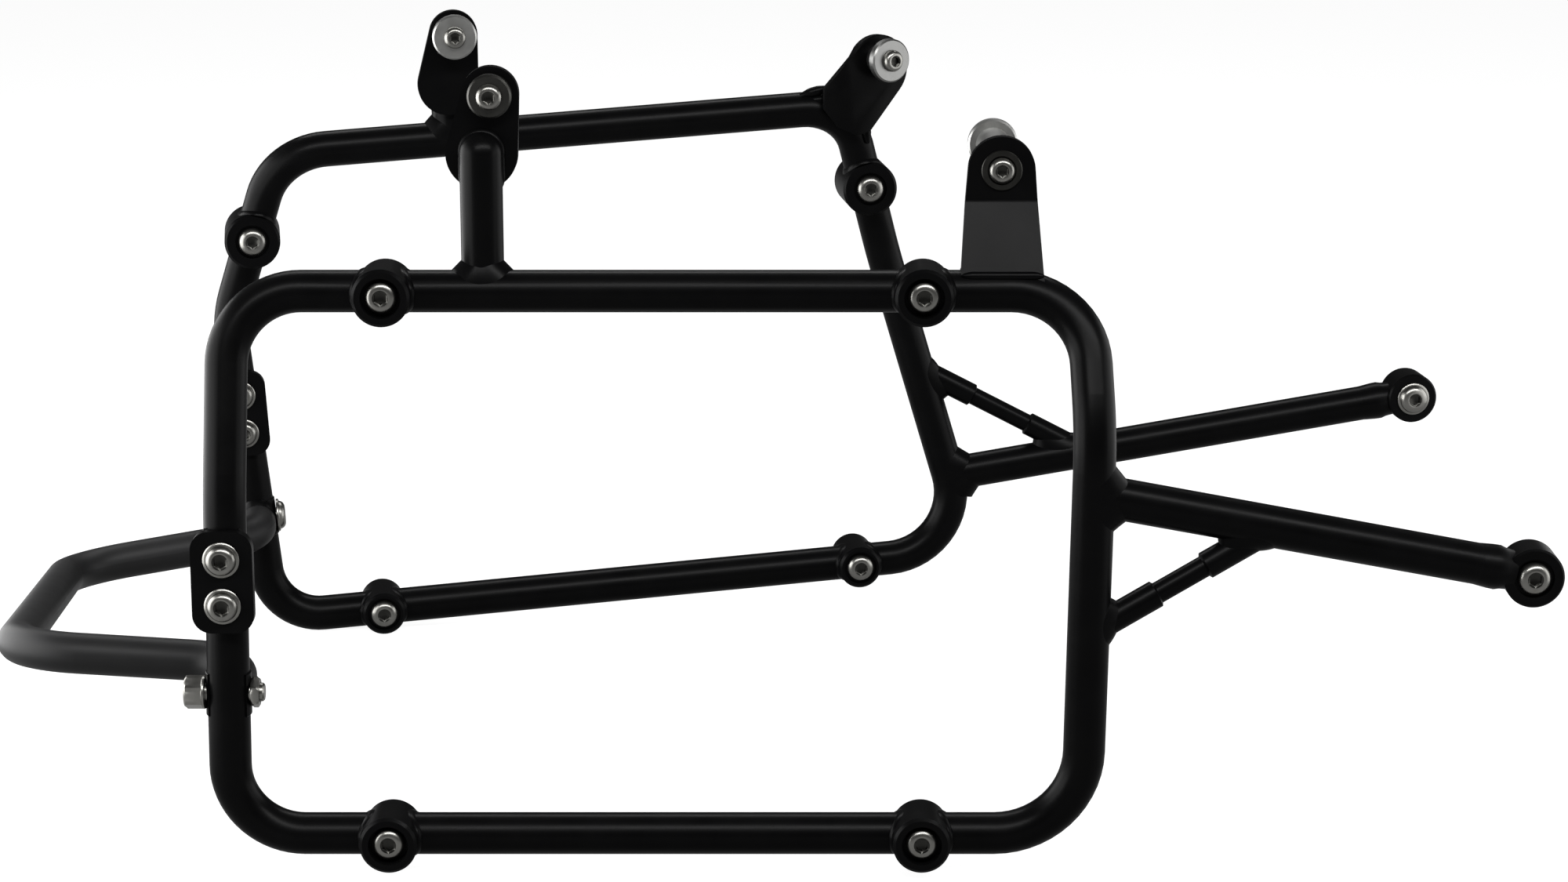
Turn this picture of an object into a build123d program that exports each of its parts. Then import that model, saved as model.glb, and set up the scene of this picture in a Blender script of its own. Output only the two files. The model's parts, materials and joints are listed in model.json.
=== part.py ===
from build123d import *
import math
import os

# Pannier frame for a motorbike: a left and a right hoop of bent steel tube, each with welded
# pucks that carry a side case, brackets and a braced stay that bolt to the bike, and a tie bar
# behind the wheel. Each hoop is drawn in its own frame: X runs forward along the hoop, Y is
# the outward offset from the bike's middle plane, Z is up. The right hoop lies on the -Y side.
RIGHT = -1
LEFT = 1

# Tube and sheet stock
TUBE_OD = 18.0
RIGHT_REAR_RADIUS = 31.0
RIGHT_FRONT_LOW_RADIUS = 38.0
RIGHT_FRONT_HIGH_RADIUS = 33.0
LEFT_REAR_LOW_RADIUS = 28.0
LEFT_REAR_HIGH_RADIUS = 35.0
LEFT_FRONT_LOW_RADIUS = 35.0
LEFT_FRONT_HIGH_RADIUS = 29.0
KNEE_RADIUS = 60.0
SHEET = 5.0

# Stance of the hoops: offsets from the middle plane, toe-out and the left hoop's nose-up pitch
BOTTOM_OFFSET = 195.0
KNEE_OFFSET = 200.0
TOP_OFFSET = 172.0
TOE_DEG = 4.0
LEFT_PITCH_DEG = 3.5
LEFT_DATUM_Z = 15.7

# Right hoop outline
RIGHT_BOTTOM_Z = 13.0
RIGHT_TOP_Z = 245.5
RIGHT_REAR_X = -182.0
RIGHT_REAR_LEAN = 2.4
RIGHT_FRONT_X = 182.4
RIGHT_FRONT_KNEE_BULGE = 2.5
RIGHT_REAR_KNEE_Z = 161.0
RIGHT_FRONT_KNEE_Z = 190.0

# Left hoop outline
LEFT_TOP_Z = 248.0
LEFT_BOTTOM_REAR_X = -187.5
LEFT_BOTTOM_FRONT_X = 184.0
LEFT_TOP_REAR_X = -163.3
LEFT_TOP_FRONT_X = 127.2
LEFT_REAR_KNEE_X = -195.5
LEFT_REAR_KNEE_Z = 159.0
LEFT_FRONT_KNEE_Z = 165.0

# M8 fasteners; a free thread is drawn at its pitch diameter
BOLT_D = 8.0
HOLE_D = 8.4
HEAD_D = 14.0
HEAD_H = 4.4
FLANGE_HEAD_D = 17.0
FLANGE_H = 1.4
SOCKET_AF = 5.0
SOCKET_DEPTH = 2.6
THREAD_D = 7.2
NUT_AF = 13.0
NUT_H = 6.5

# M6 fasteners of the brackets
SMALL_BOLT_D = 6.0
SMALL_HOLE_D = 6.4
SMALL_HEAD_D = 11.0
SMALL_HEAD_H = 3.6
SMALL_SOCKET_AF = 4.0
SMALL_SOCKET_DEPTH = 2.2
SMALL_THREAD_D = 5.35
SMALL_NUT_AF = 10.0
SMALL_NUT_H = 5.0

BOLT_TIP = 2.0
BOLT_REACH = 16.0
EDGE_BREAK = 0.8

# Case pucks
PUCK_D = 24.6
SMALL_PUCK_D = 22.0
LARGE_PUCK_D = 28.0
PUCK_STAND = 8.0
LEAN_PUCK_STAND = 8.5
PUCK_BACK_STAND = 1.0
LEFT_PUCK_BACK_STAND = 5.5
PUCK_SEAT_CLEAR = 1.5
PUCK_SEAT_DEPTH = 5.0
PUCK_BACK_SEAT_DEPTH = 2.0
PUCK_RIM = 1.2
SLEEVE_BORE_D = 6.0
SLEEVE_BORE_L = 8.0
SLEEVE_GAP = 0.5
RIGHT_PUCK_X = 113.5
LEFT_LOWER_PUCK_REAR_X = -130.0
LEFT_LOWER_PUCK_FRONT_X = 122.0
LEFT_UPPER_PUCK_DROP = 44.2

# Rear brackets: a short post on the top tube with a teardrop plate on its inner side
POST_FLAT = 1.5
RIGHT_POST_X = -72.0
RIGHT_POST_TOP = 67.0
RIGHT_POST_SET_IN = 3.5
RIGHT_LUG_X = -68.0
RIGHT_LUG_RISE = 82.0
LEFT_POST_X = -75.0
LEFT_POST_TOP = 35.0
LEFT_POST_SET_IN = 0.0
LEFT_LUG_X = -70.4
LEFT_LUG_RISE = 54.0
LUG_R = 12.0
LUG_BASE_R = 15.2
LUG_BASE_DROP = 25.0
RIGHT_WASHER_D = 18.6
RIGHT_WASHER_H = 6.0

# Stepped spacers between a bracket and the bike
SPACER_FLANGE_D = 22.0
SPACER_FLANGE_H = 5.0
SPACER_NECK_D = 15.0
SPACER_NECK_H = 7.0
RIGHT_SPACER_NECK_H = 65.0

# Right front bracket: a folded tab on the top tube
TAB_X = 146.5
TAB_HOLE_RISE = 49.8
TAB_R = 14.2
TAB_BASE_HALF = 18.0
TAB_FOOT_INSET = 3.0
TAB_FOLD_INSET = 12.0
TAB_FOLD_RISE = 36.5
TAB_FOLD_RADIUS = 6.0

# Left front bracket: a flat plate turned out from the upper front corner
CORNER_PLATE_AHEAD = 1.5
CORNER_PLATE_DROP = 3.0
CORNER_PLATE_SET_IN = 9.0
CORNER_PLATE_REACH_X = 16.3
CORNER_PLATE_REACH_Z = 26.6
CORNER_PLATE_R = 14.0
CORNER_PLATE_BASE_R = 14.5
CORNER_PLATE_TURN_DEG = 24.0

# Stays that run forward to the bike, with an eye at the end and a turned brace
EYE_D = 26.0
EYE_W = 18.0
EYE_SEAT_D = 17.0
EYE_SEAT_DEPTH = 2.0
STAY_NECK_D = 15.6
STAY_NECK_L = 9.0
RIGHT_STAY_Z = 164.2
RIGHT_EYE_X = 375.8
RIGHT_EYE_Z = 121.2
LEFT_STAY_Z = 42.5
LEFT_EYE_X = 419.0
LEFT_EYE_Z = 69.6
EYE_OFFSET = 168.0
BRACE_D = 12.0
BRACE_WAIST_D = 9.4
BRACE_STEP_L = 0.8
BRACE_END_L = 24.0
RIGHT_BRACE_Z = 103.4
RIGHT_BRACE_STAY_X = 262.0
LEFT_BRACE_Z = 102.0
LEFT_BRACE_STAY_X = 245.6

# Two-bolt link plates on the rear uprights
LINK_W = 26.0
LINK_H = 44.0
LINK_CORNER = 8.0
LINK_PITCH = 20.0
LINK_SINK = 1.5
LINK_BOLT_L = 14.0
RIGHT_LINK_Z = 129.0
LEFT_LINK_Z = 112.0

# Tie bar behind the wheel, with a saddle and a cross bolt on each rear upright
SADDLE_W = 19.4
SADDLE_H = 20.0
SADDLE_BACK = 12.0
SADDLE_FRONT = 8.0
SADDLE_CORNER = 6.0
RIGHT_SADDLE_Z = 77.0
LEFT_SADDLE_Z = 54.5
TIE_LEG_OFFSET = 155.0
TIE_ELBOW_R = 22.0
TIE_CORNER_R = 32.0
TIE_RIGHT_REAR_X = -292.0
TIE_LEFT_REAR_X = -298.0
TIE_REAR_HALF = 134.0
TIE_RIGHT_Z = 83.0
TIE_LEFT_Z = 45.2

BOTTOM_ALIGN = (Align.CENTER, Align.CENTER, Align.MIN)
TOP_ALIGN = (Align.CENTER, Align.CENTER, Align.MAX)
RIGHT_FRAME = Location((0, 0, 0), (0, 0, -TOE_DEG))
LEFT_FRAME = Location((0, 0, LEFT_DATUM_Z), (0, 0, TOE_DEG)) * Location((0, 0, 0), (0, -LEFT_PITCH_DEG, 0))


def between(first, second, z):
    """Point at height z on the straight line through two points."""
    share = (z - first.Z) / (second.Z - first.Z)
    return first + (second - first) * share


def rod(start, end, diameter):
    """Plain round bar between two points."""
    axis = end - start
    return extrude(Plane(origin=start, z_dir=axis) * Circle(diameter / 2), amount=axis.length)


def bent_tube(points, radii):
    """Tube along straight runs that are joined by tangent bends."""
    path = FilletPolyline(*points, radius=radii)
    return sweep(Plane(origin=path @ 0, z_dir=path % 0) * Circle(TUBE_OD / 2), path=path)


def seat(origin, direction):
    """Location whose Z axis leaves a point in a direction."""
    return Plane(origin=origin, z_dir=direction).location


class Fastener:
    """Sizes of one thread's screw and nut, and the shapes that they give."""

    def __init__(self, bolt_d, hole_d, thread_d, head, socket, nut):
        self.bolt_d = bolt_d
        self.hole_d = hole_d
        self.thread_d = thread_d
        self.head_d, self.head_h = head
        self.socket_af, self.socket_depth = socket
        self.nut_af, self.nut_h = nut

    def screw(self, length, flange=False, reach=0.0, reach_d=0.0):
        """Button-head screw with its head on Z = 0; reach is a slimmer threaded end past the shank."""
        head = Cylinder(self.head_d / 2, self.head_h, align=BOTTOM_ALIGN)
        head = fillet(head.edges().group_by(Axis.Z)[-1], self.head_h / 2)
        if flange:
            head += Cylinder(FLANGE_HEAD_D / 2, FLANGE_H, align=BOTTOM_ALIGN)
        shank = Cylinder(self.bolt_d / 2, length, align=TOP_ALIGN)
        if not reach:
            shank = chamfer(shank.edges().group_by(Axis.Z)[0], EDGE_BREAK)
        else:
            thread = Cylinder((reach_d or self.thread_d) / 2, reach, align=TOP_ALIGN)
            shank += Pos(0, 0, -length) * chamfer(thread.edges().group_by(Axis.Z)[0], EDGE_BREAK)
        socket = extrude(RegularPolygon(self.socket_af / 2, 6, major_radius=False), amount=self.socket_depth)
        return head + shank - Pos(0, 0, self.head_h - self.socket_depth) * socket

    def nut(self):
        """Hexagon nut on Z = 0, with its corners turned off at both faces."""
        blank = extrude(RegularPolygon(self.nut_af / 2, 6, major_radius=False), amount=self.nut_h)
        turned = Cylinder(self.nut_af / math.sqrt(3), self.nut_h, align=BOTTOM_ALIGN)
        turned = chamfer(turned.edges().filter_by(GeomType.CIRCLE), EDGE_BREAK)
        return (blank & turned) - Cylinder(self.bolt_d / 2, self.nut_h, align=BOTTOM_ALIGN)


M8 = Fastener(BOLT_D, HOLE_D, THREAD_D, (HEAD_D, HEAD_H), (SOCKET_AF, SOCKET_DEPTH), (NUT_AF, NUT_H))
M6 = Fastener(
    SMALL_BOLT_D,
    SMALL_HOLE_D,
    SMALL_THREAD_D,
    (SMALL_HEAD_D, SMALL_HEAD_H),
    (SMALL_SOCKET_AF, SMALL_SOCKET_DEPTH),
    (SMALL_NUT_AF, SMALL_NUT_H),
)


def stepped_spacer(neck_h):
    """Turned spacer: its neck stands on Z = 0 and its flange is at the far end."""
    neck = Cylinder(SPACER_NECK_D / 2, neck_h, align=BOTTOM_ALIGN)
    flange = Cylinder(SPACER_FLANGE_D / 2, SPACER_FLANGE_H, align=BOTTOM_ALIGN)
    flange = chamfer(flange.edges().filter_by(GeomType.CIRCLE), EDGE_BREAK)
    body = neck + Pos(0, 0, neck_h) * flange
    return body - Cylinder(M6.hole_d / 2, neck_h + SPACER_FLANGE_H, align=BOTTOM_ALIGN)


class Hoop:
    """One side of the frame, drawn in its own hoop coordinates."""

    def __init__(self, name, side, frame):
        self.name = name
        self.side = side
        self.frame = frame
        self.nodes = {}
        self.holes = []

    def at(self, x, offset, z):
        """Hoop point at a distance along the hoop, an outward offset and a height."""
        return Vector(x, self.side * offset, z)

    def outward(self):
        """Direction away from the bike's middle plane."""
        return Vector(0, self.side, 0)

    def add(self, name, shape):
        """Keep a finished piece under its side's name."""
        self.nodes[f"{self.name}_{name}"] = shape

    def bend(self, bottom_z, top_z, rear, front, rear_radii, front_radii):
        """Bend the closed hoop from two halves that meet in mid run, and keep its uprights."""
        self.rear = [self.at(*point) for point in rear]
        self.front = [self.at(*point) for point in front]
        self.top_z = top_z
        low = self.at(0, BOTTOM_OFFSET, bottom_z)
        high = self.at(0, TOP_OFFSET, top_z)
        front_half = bent_tube([low, *self.front, high], front_radii)
        rear_half = bent_tube([low, *self.rear, high], rear_radii)
        self.blank = front_half + rear_half

    def upright(self, run, z):
        """Centre of an upright at a height: run holds its foot, knee and head."""
        foot, knee, head = run
        if z <= knee.Z:
            return between(foot, knee, z)
        return between(knee, head, z)

    def drill(self, start, end, diameter=M8.hole_d):
        """Note a hole that the hoop tube gets."""
        self.holes.append(rod(start, end, diameter))

    def puck(self, name, hub, diameter, stand, back_stand, back_seat_depth):
        """Turned puck over the tube, with a screw seat outside and a sleeve nut inside."""
        axis = self.outward()
        place = seat(hub, axis)
        face = TUBE_OD / 2 + stand
        back = TUBE_OD / 2 + back_stand
        seat_r = M8.head_d / 2 + PUCK_SEAT_CLEAR
        body = Pos(0, 0, -back) * Cylinder(diameter / 2, back + face, align=BOTTOM_ALIGN)
        body = chamfer(body.edges().filter_by(GeomType.CIRCLE), PUCK_RIM)
        body -= Pos(0, 0, face) * Cylinder(seat_r, PUCK_SEAT_DEPTH, align=TOP_ALIGN)
        if back_seat_depth:
            body -= Pos(0, 0, -back) * Cylinder(seat_r, back_seat_depth, align=BOTTOM_ALIGN)
        body -= Pos(0, 0, face) * Cylinder(M8.hole_d / 2, back + face, align=TOP_ALIGN)
        self.add(name, place * body - self.blank)
        self.drill(hub - axis * back, hub + axis * face)
        grip = face - PUCK_SEAT_DEPTH
        screw = M8.screw(grip, reach=SLEEVE_BORE_L - SLEEVE_GAP, reach_d=SMALL_THREAD_D)
        self.screws.append(place * Pos(0, 0, grip) * screw)
        sleeve_l = back - back_seat_depth
        sleeve = M8.screw(sleeve_l - SLEEVE_GAP)
        sleeve -= Pos(0, 0, -sleeve_l) * Cylinder(SLEEVE_BORE_D / 2, SLEEVE_BORE_L, align=BOTTOM_ALIGN)
        self.nuts.append(seat(hub - axis * sleeve_l, axis * -1) * sleeve)

    def pucks(self, hubs, back_stand, back_seat_depth):
        """Four pucks with their screws and sleeve nuts."""
        self.screws = []
        self.nuts = []
        for name, hub, diameter, stand in hubs:
            self.puck(name, hub, diameter, stand, back_stand, back_seat_depth)
        self.add("puck_screws", Compound(self.screws))
        self.add("puck_nuts", Compound(self.nuts))

    def rear_bracket(self, post_x, post_top, post_set_in, lug_x, lug_rise):
        """Post with a domed end on the top tube, and a teardrop plate on a flat milled into its inner side."""
        inner = TOP_OFFSET - TUBE_OD / 2 + POST_FLAT
        foot = self.at(post_x, TOP_OFFSET - post_set_in, self.top_z)
        crown = foot + Vector(0, 0, post_top - TUBE_OD / 2)
        post = rod(foot, crown, TUBE_OD) + Pos(*crown) * Sphere(TUBE_OD / 2)
        post -= self.blank
        lug_z = self.top_z + lug_rise
        base_z = lug_z - LUG_BASE_DROP
        outline = make_hull(
            [
                *(Pos(lug_x, lug_z) * Circle(LUG_R)).edges(),
                *(Pos(post_x, base_z) * Circle(LUG_BASE_R)).edges(),
            ]
        )
        outline -= Pos(lug_x, lug_z) * Circle(M6.hole_d / 2)
        back = Plane(origin=self.at(0, inner - SHEET, 0), x_dir=(1, 0, 0), z_dir=(0, -1, 0))
        plate = extrude(back * outline, amount=-SHEET * self.side)
        clear = Pos(*self.at(post_x, inner - TUBE_OD / 2, base_z + TUBE_OD))
        relief = clear * Box(TUBE_OD, TUBE_OD, 2 * (LUG_BASE_R + TUBE_OD))
        self.add("rear_post", post - relief)
        self.add("rear_plate", plate)
        return self.at(lug_x, inner, lug_z), self.at(lug_x, inner - SHEET, lug_z)

    def stay(self, start_z, eye, brace_z, brace_x):
        """Braced stay from the front upright to its eye, coped where it meets the tube."""
        start = self.upright(self.front, start_z)
        along = (eye - start).normalized()
        ring = seat(eye, self.outward()) * Cylinder(EYE_D / 2, EYE_W)
        ring = chamfer(ring.edges().filter_by(GeomType.CIRCLE), EDGE_BREAK)
        shoulder = eye - along * (EYE_D / 2 + STAY_NECK_L)
        bar = rod(start, shoulder, TUBE_OD)
        taper = Plane(origin=shoulder, z_dir=along)
        neck_face = taper.offset(STAY_NECK_L / 2)
        bar += loft([taper * Circle(TUBE_OD / 2), neck_face * Circle(STAY_NECK_D / 2)])
        bar += rod(neck_face.origin, eye, STAY_NECK_D)
        bar -= self.blank
        bar -= seat(eye, self.outward()) * Cylinder(EYE_D / 2, EYE_W + TUBE_OD)
        ring -= seat(eye, self.outward()) * Cylinder(M8.hole_d / 2, EYE_W)
        if self.side == RIGHT:
            outer = seat(eye + self.outward() * (EYE_W / 2), self.outward())
            ring -= outer * Cylinder(EYE_SEAT_D / 2, EYE_SEAT_DEPTH, align=TOP_ALIGN)
        self.add("stay", bar)
        self.add("stay_eye", ring)
        self.add("stay_bolt", self.eye_bolt(eye))
        foot = self.upright(self.front, brace_z)
        share = (brace_x - start.X) / (eye.X - start.X)
        head = start + (eye - start) * share
        self.add("stay_brace", self.brace(foot, head) - self.blank - bar)

    def eye_bolt(self, eye):
        """Screw through a stay's eye: the right one ends free, the left one carries its nut."""
        head_axis = Vector(0, -1, 0)
        place = seat(eye, head_axis)
        if self.side == RIGHT:
            grip = EYE_W - EYE_SEAT_DEPTH
            return place * Pos(0, 0, EYE_W / 2 - EYE_SEAT_DEPTH) * M8.screw(grip, reach=BOLT_REACH)
        nut = seat(eye - head_axis * (EYE_W / 2), head_axis * -1) * M8.nut()
        screw = M8.screw(EYE_W + M8.nut_h + BOLT_TIP, flange=True)
        return Compound([place * Pos(0, 0, EYE_W / 2) * screw, nut])

    def brace(self, foot, head):
        """Turned strut with a slimmer waist between two shoulders."""
        length = (head - foot).length
        end = BRACE_END_L + TUBE_OD / 2
        r_end = BRACE_D / 2
        r_waist = BRACE_WAIST_D / 2
        profile = Polyline(
            (0, 0),
            (r_end, 0),
            (r_end, end),
            (r_waist, end + BRACE_STEP_L),
            (r_waist, length - end - BRACE_STEP_L),
            (r_end, length - end),
            (r_end, length),
            (0, length),
            close=True,
        )
        turned = revolve(Plane.XZ * make_face(profile), axis=Axis.Z)
        return seat(foot, head - foot) * turned

    def link_plate(self, z, toward):
        """Two-bolt plate let into one side of the rear upright; toward is 1 outward, -1 inward."""
        hub = self.upright(self.rear, z)
        axis = self.outward() * toward
        face = Plane(origin=hub, x_dir=(1, 0, 0), z_dir=axis).offset(TUBE_OD / 2 - LINK_SINK)
        plate = extrude(face * RectangleRounded(LINK_W, LINK_H, LINK_CORNER), amount=SHEET)
        bolts = []
        for rise in (-LINK_PITCH / 2, LINK_PITCH / 2):
            outer = self.upright(self.rear, z) + Vector(0, 0, rise)
            outer += axis * (TUBE_OD / 2 - LINK_SINK + SHEET)
            plate -= rod(outer - axis * LINK_BOLT_L, outer, M8.hole_d)
            bolts.append(seat(outer, axis) * M8.screw(LINK_BOLT_L, flange=True))
            self.drill(outer - axis * LINK_BOLT_L, outer, M8.bolt_d)
        self.add("link_plate", plate - self.blank)
        self.add("link_bolts", Compound(bolts))

    def saddle(self, z):
        """Saddle on the inner side of the rear upright, with a cross bolt along the hoop."""
        hub = self.upright(self.rear, z)
        inward = self.outward() * -1
        middle = hub + inward * ((SADDLE_BACK - SADDLE_FRONT) / 2)
        block = Pos(*middle) * Box(SADDLE_W, SADDLE_BACK + SADDLE_FRONT, SADDLE_H)
        outer = block.faces().sort_by(Axis.Y)[0 if self.side == RIGHT else -1]
        block = fillet(outer.edges().filter_by(Axis.X), SADDLE_CORNER)
        half = Vector(SADDLE_W / 2, 0, 0)
        self.add("tie_saddle", block - self.blank - rod(hub - half, hub + half, M8.hole_d))
        self.drill(hub - half, hub + half)
        forward = Vector(1, 0, 0)
        flange_seat = hub + forward * (SADDLE_W / 2)
        bolt = seat(flange_seat, forward) * M8.screw(SADDLE_W + M8.nut_h + BOLT_TIP, flange=True)
        nut = seat(hub - forward * (SADDLE_W / 2), forward * -1) * M8.nut()
        self.add("tie_bolt", bolt)
        self.add("tie_nut", nut)
        return hub + inward * SADDLE_BACK, self.at(hub.X, TIE_LEG_OFFSET, z)

    def finish(self):
        """Drill the hoop tube and carry every piece to the frame's place."""
        tube = self.blank
        for hole in self.holes:
            tube -= hole
        self.add("hoop", tube)
        return {name: self.frame * shape for name, shape in self.nodes.items()}


def bolt_into_bike(hoop, name, head_face, last_face):
    """Screw whose threaded end stands free past the last face, to go into the bike."""
    axis = head_face - last_face
    screw = M6.screw(axis.length, reach=BOLT_REACH)
    hoop.add(f"{name}_bolt", seat(head_face, axis) * screw)


def bolt_through(hoop, name, head_face, nut_face):
    """Screw from a head face to a nut beyond the nut face."""
    axis = (head_face - nut_face).normalized()
    length = (head_face - nut_face).length
    hoop.add(f"{name}_bolt", seat(head_face, axis) * M6.screw(length + M6.nut_h + BOLT_TIP))
    hoop.add(f"{name}_nut", seat(nut_face, axis * -1) * M6.nut())


def right_side():
    """Right hoop: tall brackets on the top tube and pucks on the top and bottom tubes."""
    hoop = Hoop("right", RIGHT, RIGHT_FRAME)
    rear_knee_x = RIGHT_REAR_X + RIGHT_REAR_LEAN
    front_knee_x = RIGHT_FRONT_X + RIGHT_FRONT_KNEE_BULGE
    hoop.bend(
        RIGHT_BOTTOM_Z,
        RIGHT_TOP_Z,
        [
            (RIGHT_REAR_X, BOTTOM_OFFSET, RIGHT_BOTTOM_Z),
            (rear_knee_x, KNEE_OFFSET, RIGHT_REAR_KNEE_Z),
            (rear_knee_x, TOP_OFFSET, RIGHT_TOP_Z),
        ],
        [
            (RIGHT_FRONT_X, BOTTOM_OFFSET, RIGHT_BOTTOM_Z),
            (front_knee_x, KNEE_OFFSET, RIGHT_FRONT_KNEE_Z),
            (RIGHT_FRONT_X, TOP_OFFSET, RIGHT_TOP_Z),
        ],
        [RIGHT_REAR_RADIUS, KNEE_RADIUS, RIGHT_REAR_RADIUS],
        [RIGHT_FRONT_LOW_RADIUS, KNEE_RADIUS, RIGHT_FRONT_HIGH_RADIUS],
    )
    hubs = [
        ("upper_rear_puck", hoop.at(-RIGHT_PUCK_X, TOP_OFFSET, RIGHT_TOP_Z), PUCK_D, PUCK_STAND),
        ("upper_front_puck", hoop.at(RIGHT_PUCK_X, TOP_OFFSET, RIGHT_TOP_Z), PUCK_D, PUCK_STAND),
        ("lower_rear_puck", hoop.at(-RIGHT_PUCK_X, BOTTOM_OFFSET, RIGHT_BOTTOM_Z), PUCK_D, PUCK_STAND),
        ("lower_front_puck", hoop.at(RIGHT_PUCK_X, BOTTOM_OFFSET, RIGHT_BOTTOM_Z), PUCK_D, PUCK_STAND),
    ]
    hoop.pucks(hubs, PUCK_BACK_STAND, 0.0)
    outer, inner = hoop.rear_bracket(
        RIGHT_POST_X, RIGHT_POST_TOP, RIGHT_POST_SET_IN, RIGHT_LUG_X, RIGHT_LUG_RISE
    )
    washer = Cylinder(RIGHT_WASHER_D / 2, RIGHT_WASHER_H, align=BOTTOM_ALIGN)
    washer = chamfer(washer.edges().filter_by(GeomType.CIRCLE), EDGE_BREAK)
    washer -= Cylinder(M6.hole_d / 2, RIGHT_WASHER_H, align=BOTTOM_ALIGN)
    hoop.add("rear_spacer", seat(outer, hoop.outward()) * washer)
    bolt_into_bike(hoop, "rear", outer + hoop.outward() * RIGHT_WASHER_H, inner)
    folded_tab(hoop)
    eye = hoop.at(RIGHT_EYE_X, EYE_OFFSET, RIGHT_EYE_Z)
    hoop.stay(RIGHT_STAY_Z, eye, RIGHT_BRACE_Z, RIGHT_BRACE_STAY_X)
    hoop.link_plate(RIGHT_LINK_Z, 1)
    ends = hoop.saddle(RIGHT_SADDLE_Z)
    return hoop.finish(), [RIGHT_FRAME * Pos(*end) for end in ends]


def folded_tab(hoop):
    """Front bracket of the right hoop: sheet that leans in from the tube and folds upright."""
    hole_z = RIGHT_TOP_Z + TAB_HOLE_RISE
    tab_offset = TOP_OFFSET - TAB_FOLD_INSET
    fold_z = RIGHT_TOP_Z + TAB_FOLD_RISE
    top_z = hole_z + TAB_R
    bend = FilletPolyline(
        (TOP_OFFSET + TUBE_OD / 2 - TAB_FOOT_INSET, RIGHT_TOP_Z),
        (tab_offset, fold_z),
        (tab_offset, top_z),
        radius=TAB_FOLD_RADIUS,
    )
    strip = trace(bend, SHEET)
    side_view = Plane(origin=(TAB_X + TAB_BASE_HALF, 0, 0), x_dir=(0, RIGHT, 0), z_dir=(-1, 0, 0))
    sheet = extrude(side_view * strip, amount=2 * TAB_BASE_HALF)
    base = [(TAB_X - TAB_BASE_HALF, RIGHT_TOP_Z), (TAB_X + TAB_BASE_HALF, RIGHT_TOP_Z)]
    outline = make_hull([*(Pos(TAB_X, hole_z) * Circle(TAB_R)).edges(), Edge.make_line(*base)])
    outline -= Pos(TAB_X, hole_z) * Circle(M6.hole_d / 2)
    front_view = Plane(origin=(0, 0, 0), x_dir=(1, 0, 0), z_dir=(0, -1, 0))
    depth = TOP_OFFSET + TUBE_OD
    tab = sheet & extrude(front_view * outline, amount=depth)
    hoop.add("front_bracket", tab - hoop.blank)
    outer = hoop.at(TAB_X, tab_offset + SHEET / 2, hole_z)
    inner = hoop.at(TAB_X, tab_offset - SHEET / 2, hole_z)
    inward = hoop.outward() * -1
    hoop.add("front_spacer", seat(inner, inward) * stepped_spacer(RIGHT_SPACER_NECK_H))
    end = inner + inward * (RIGHT_SPACER_NECK_H + SPACER_FLANGE_H)
    bolt_into_bike(hoop, "front", outer, end)


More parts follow.
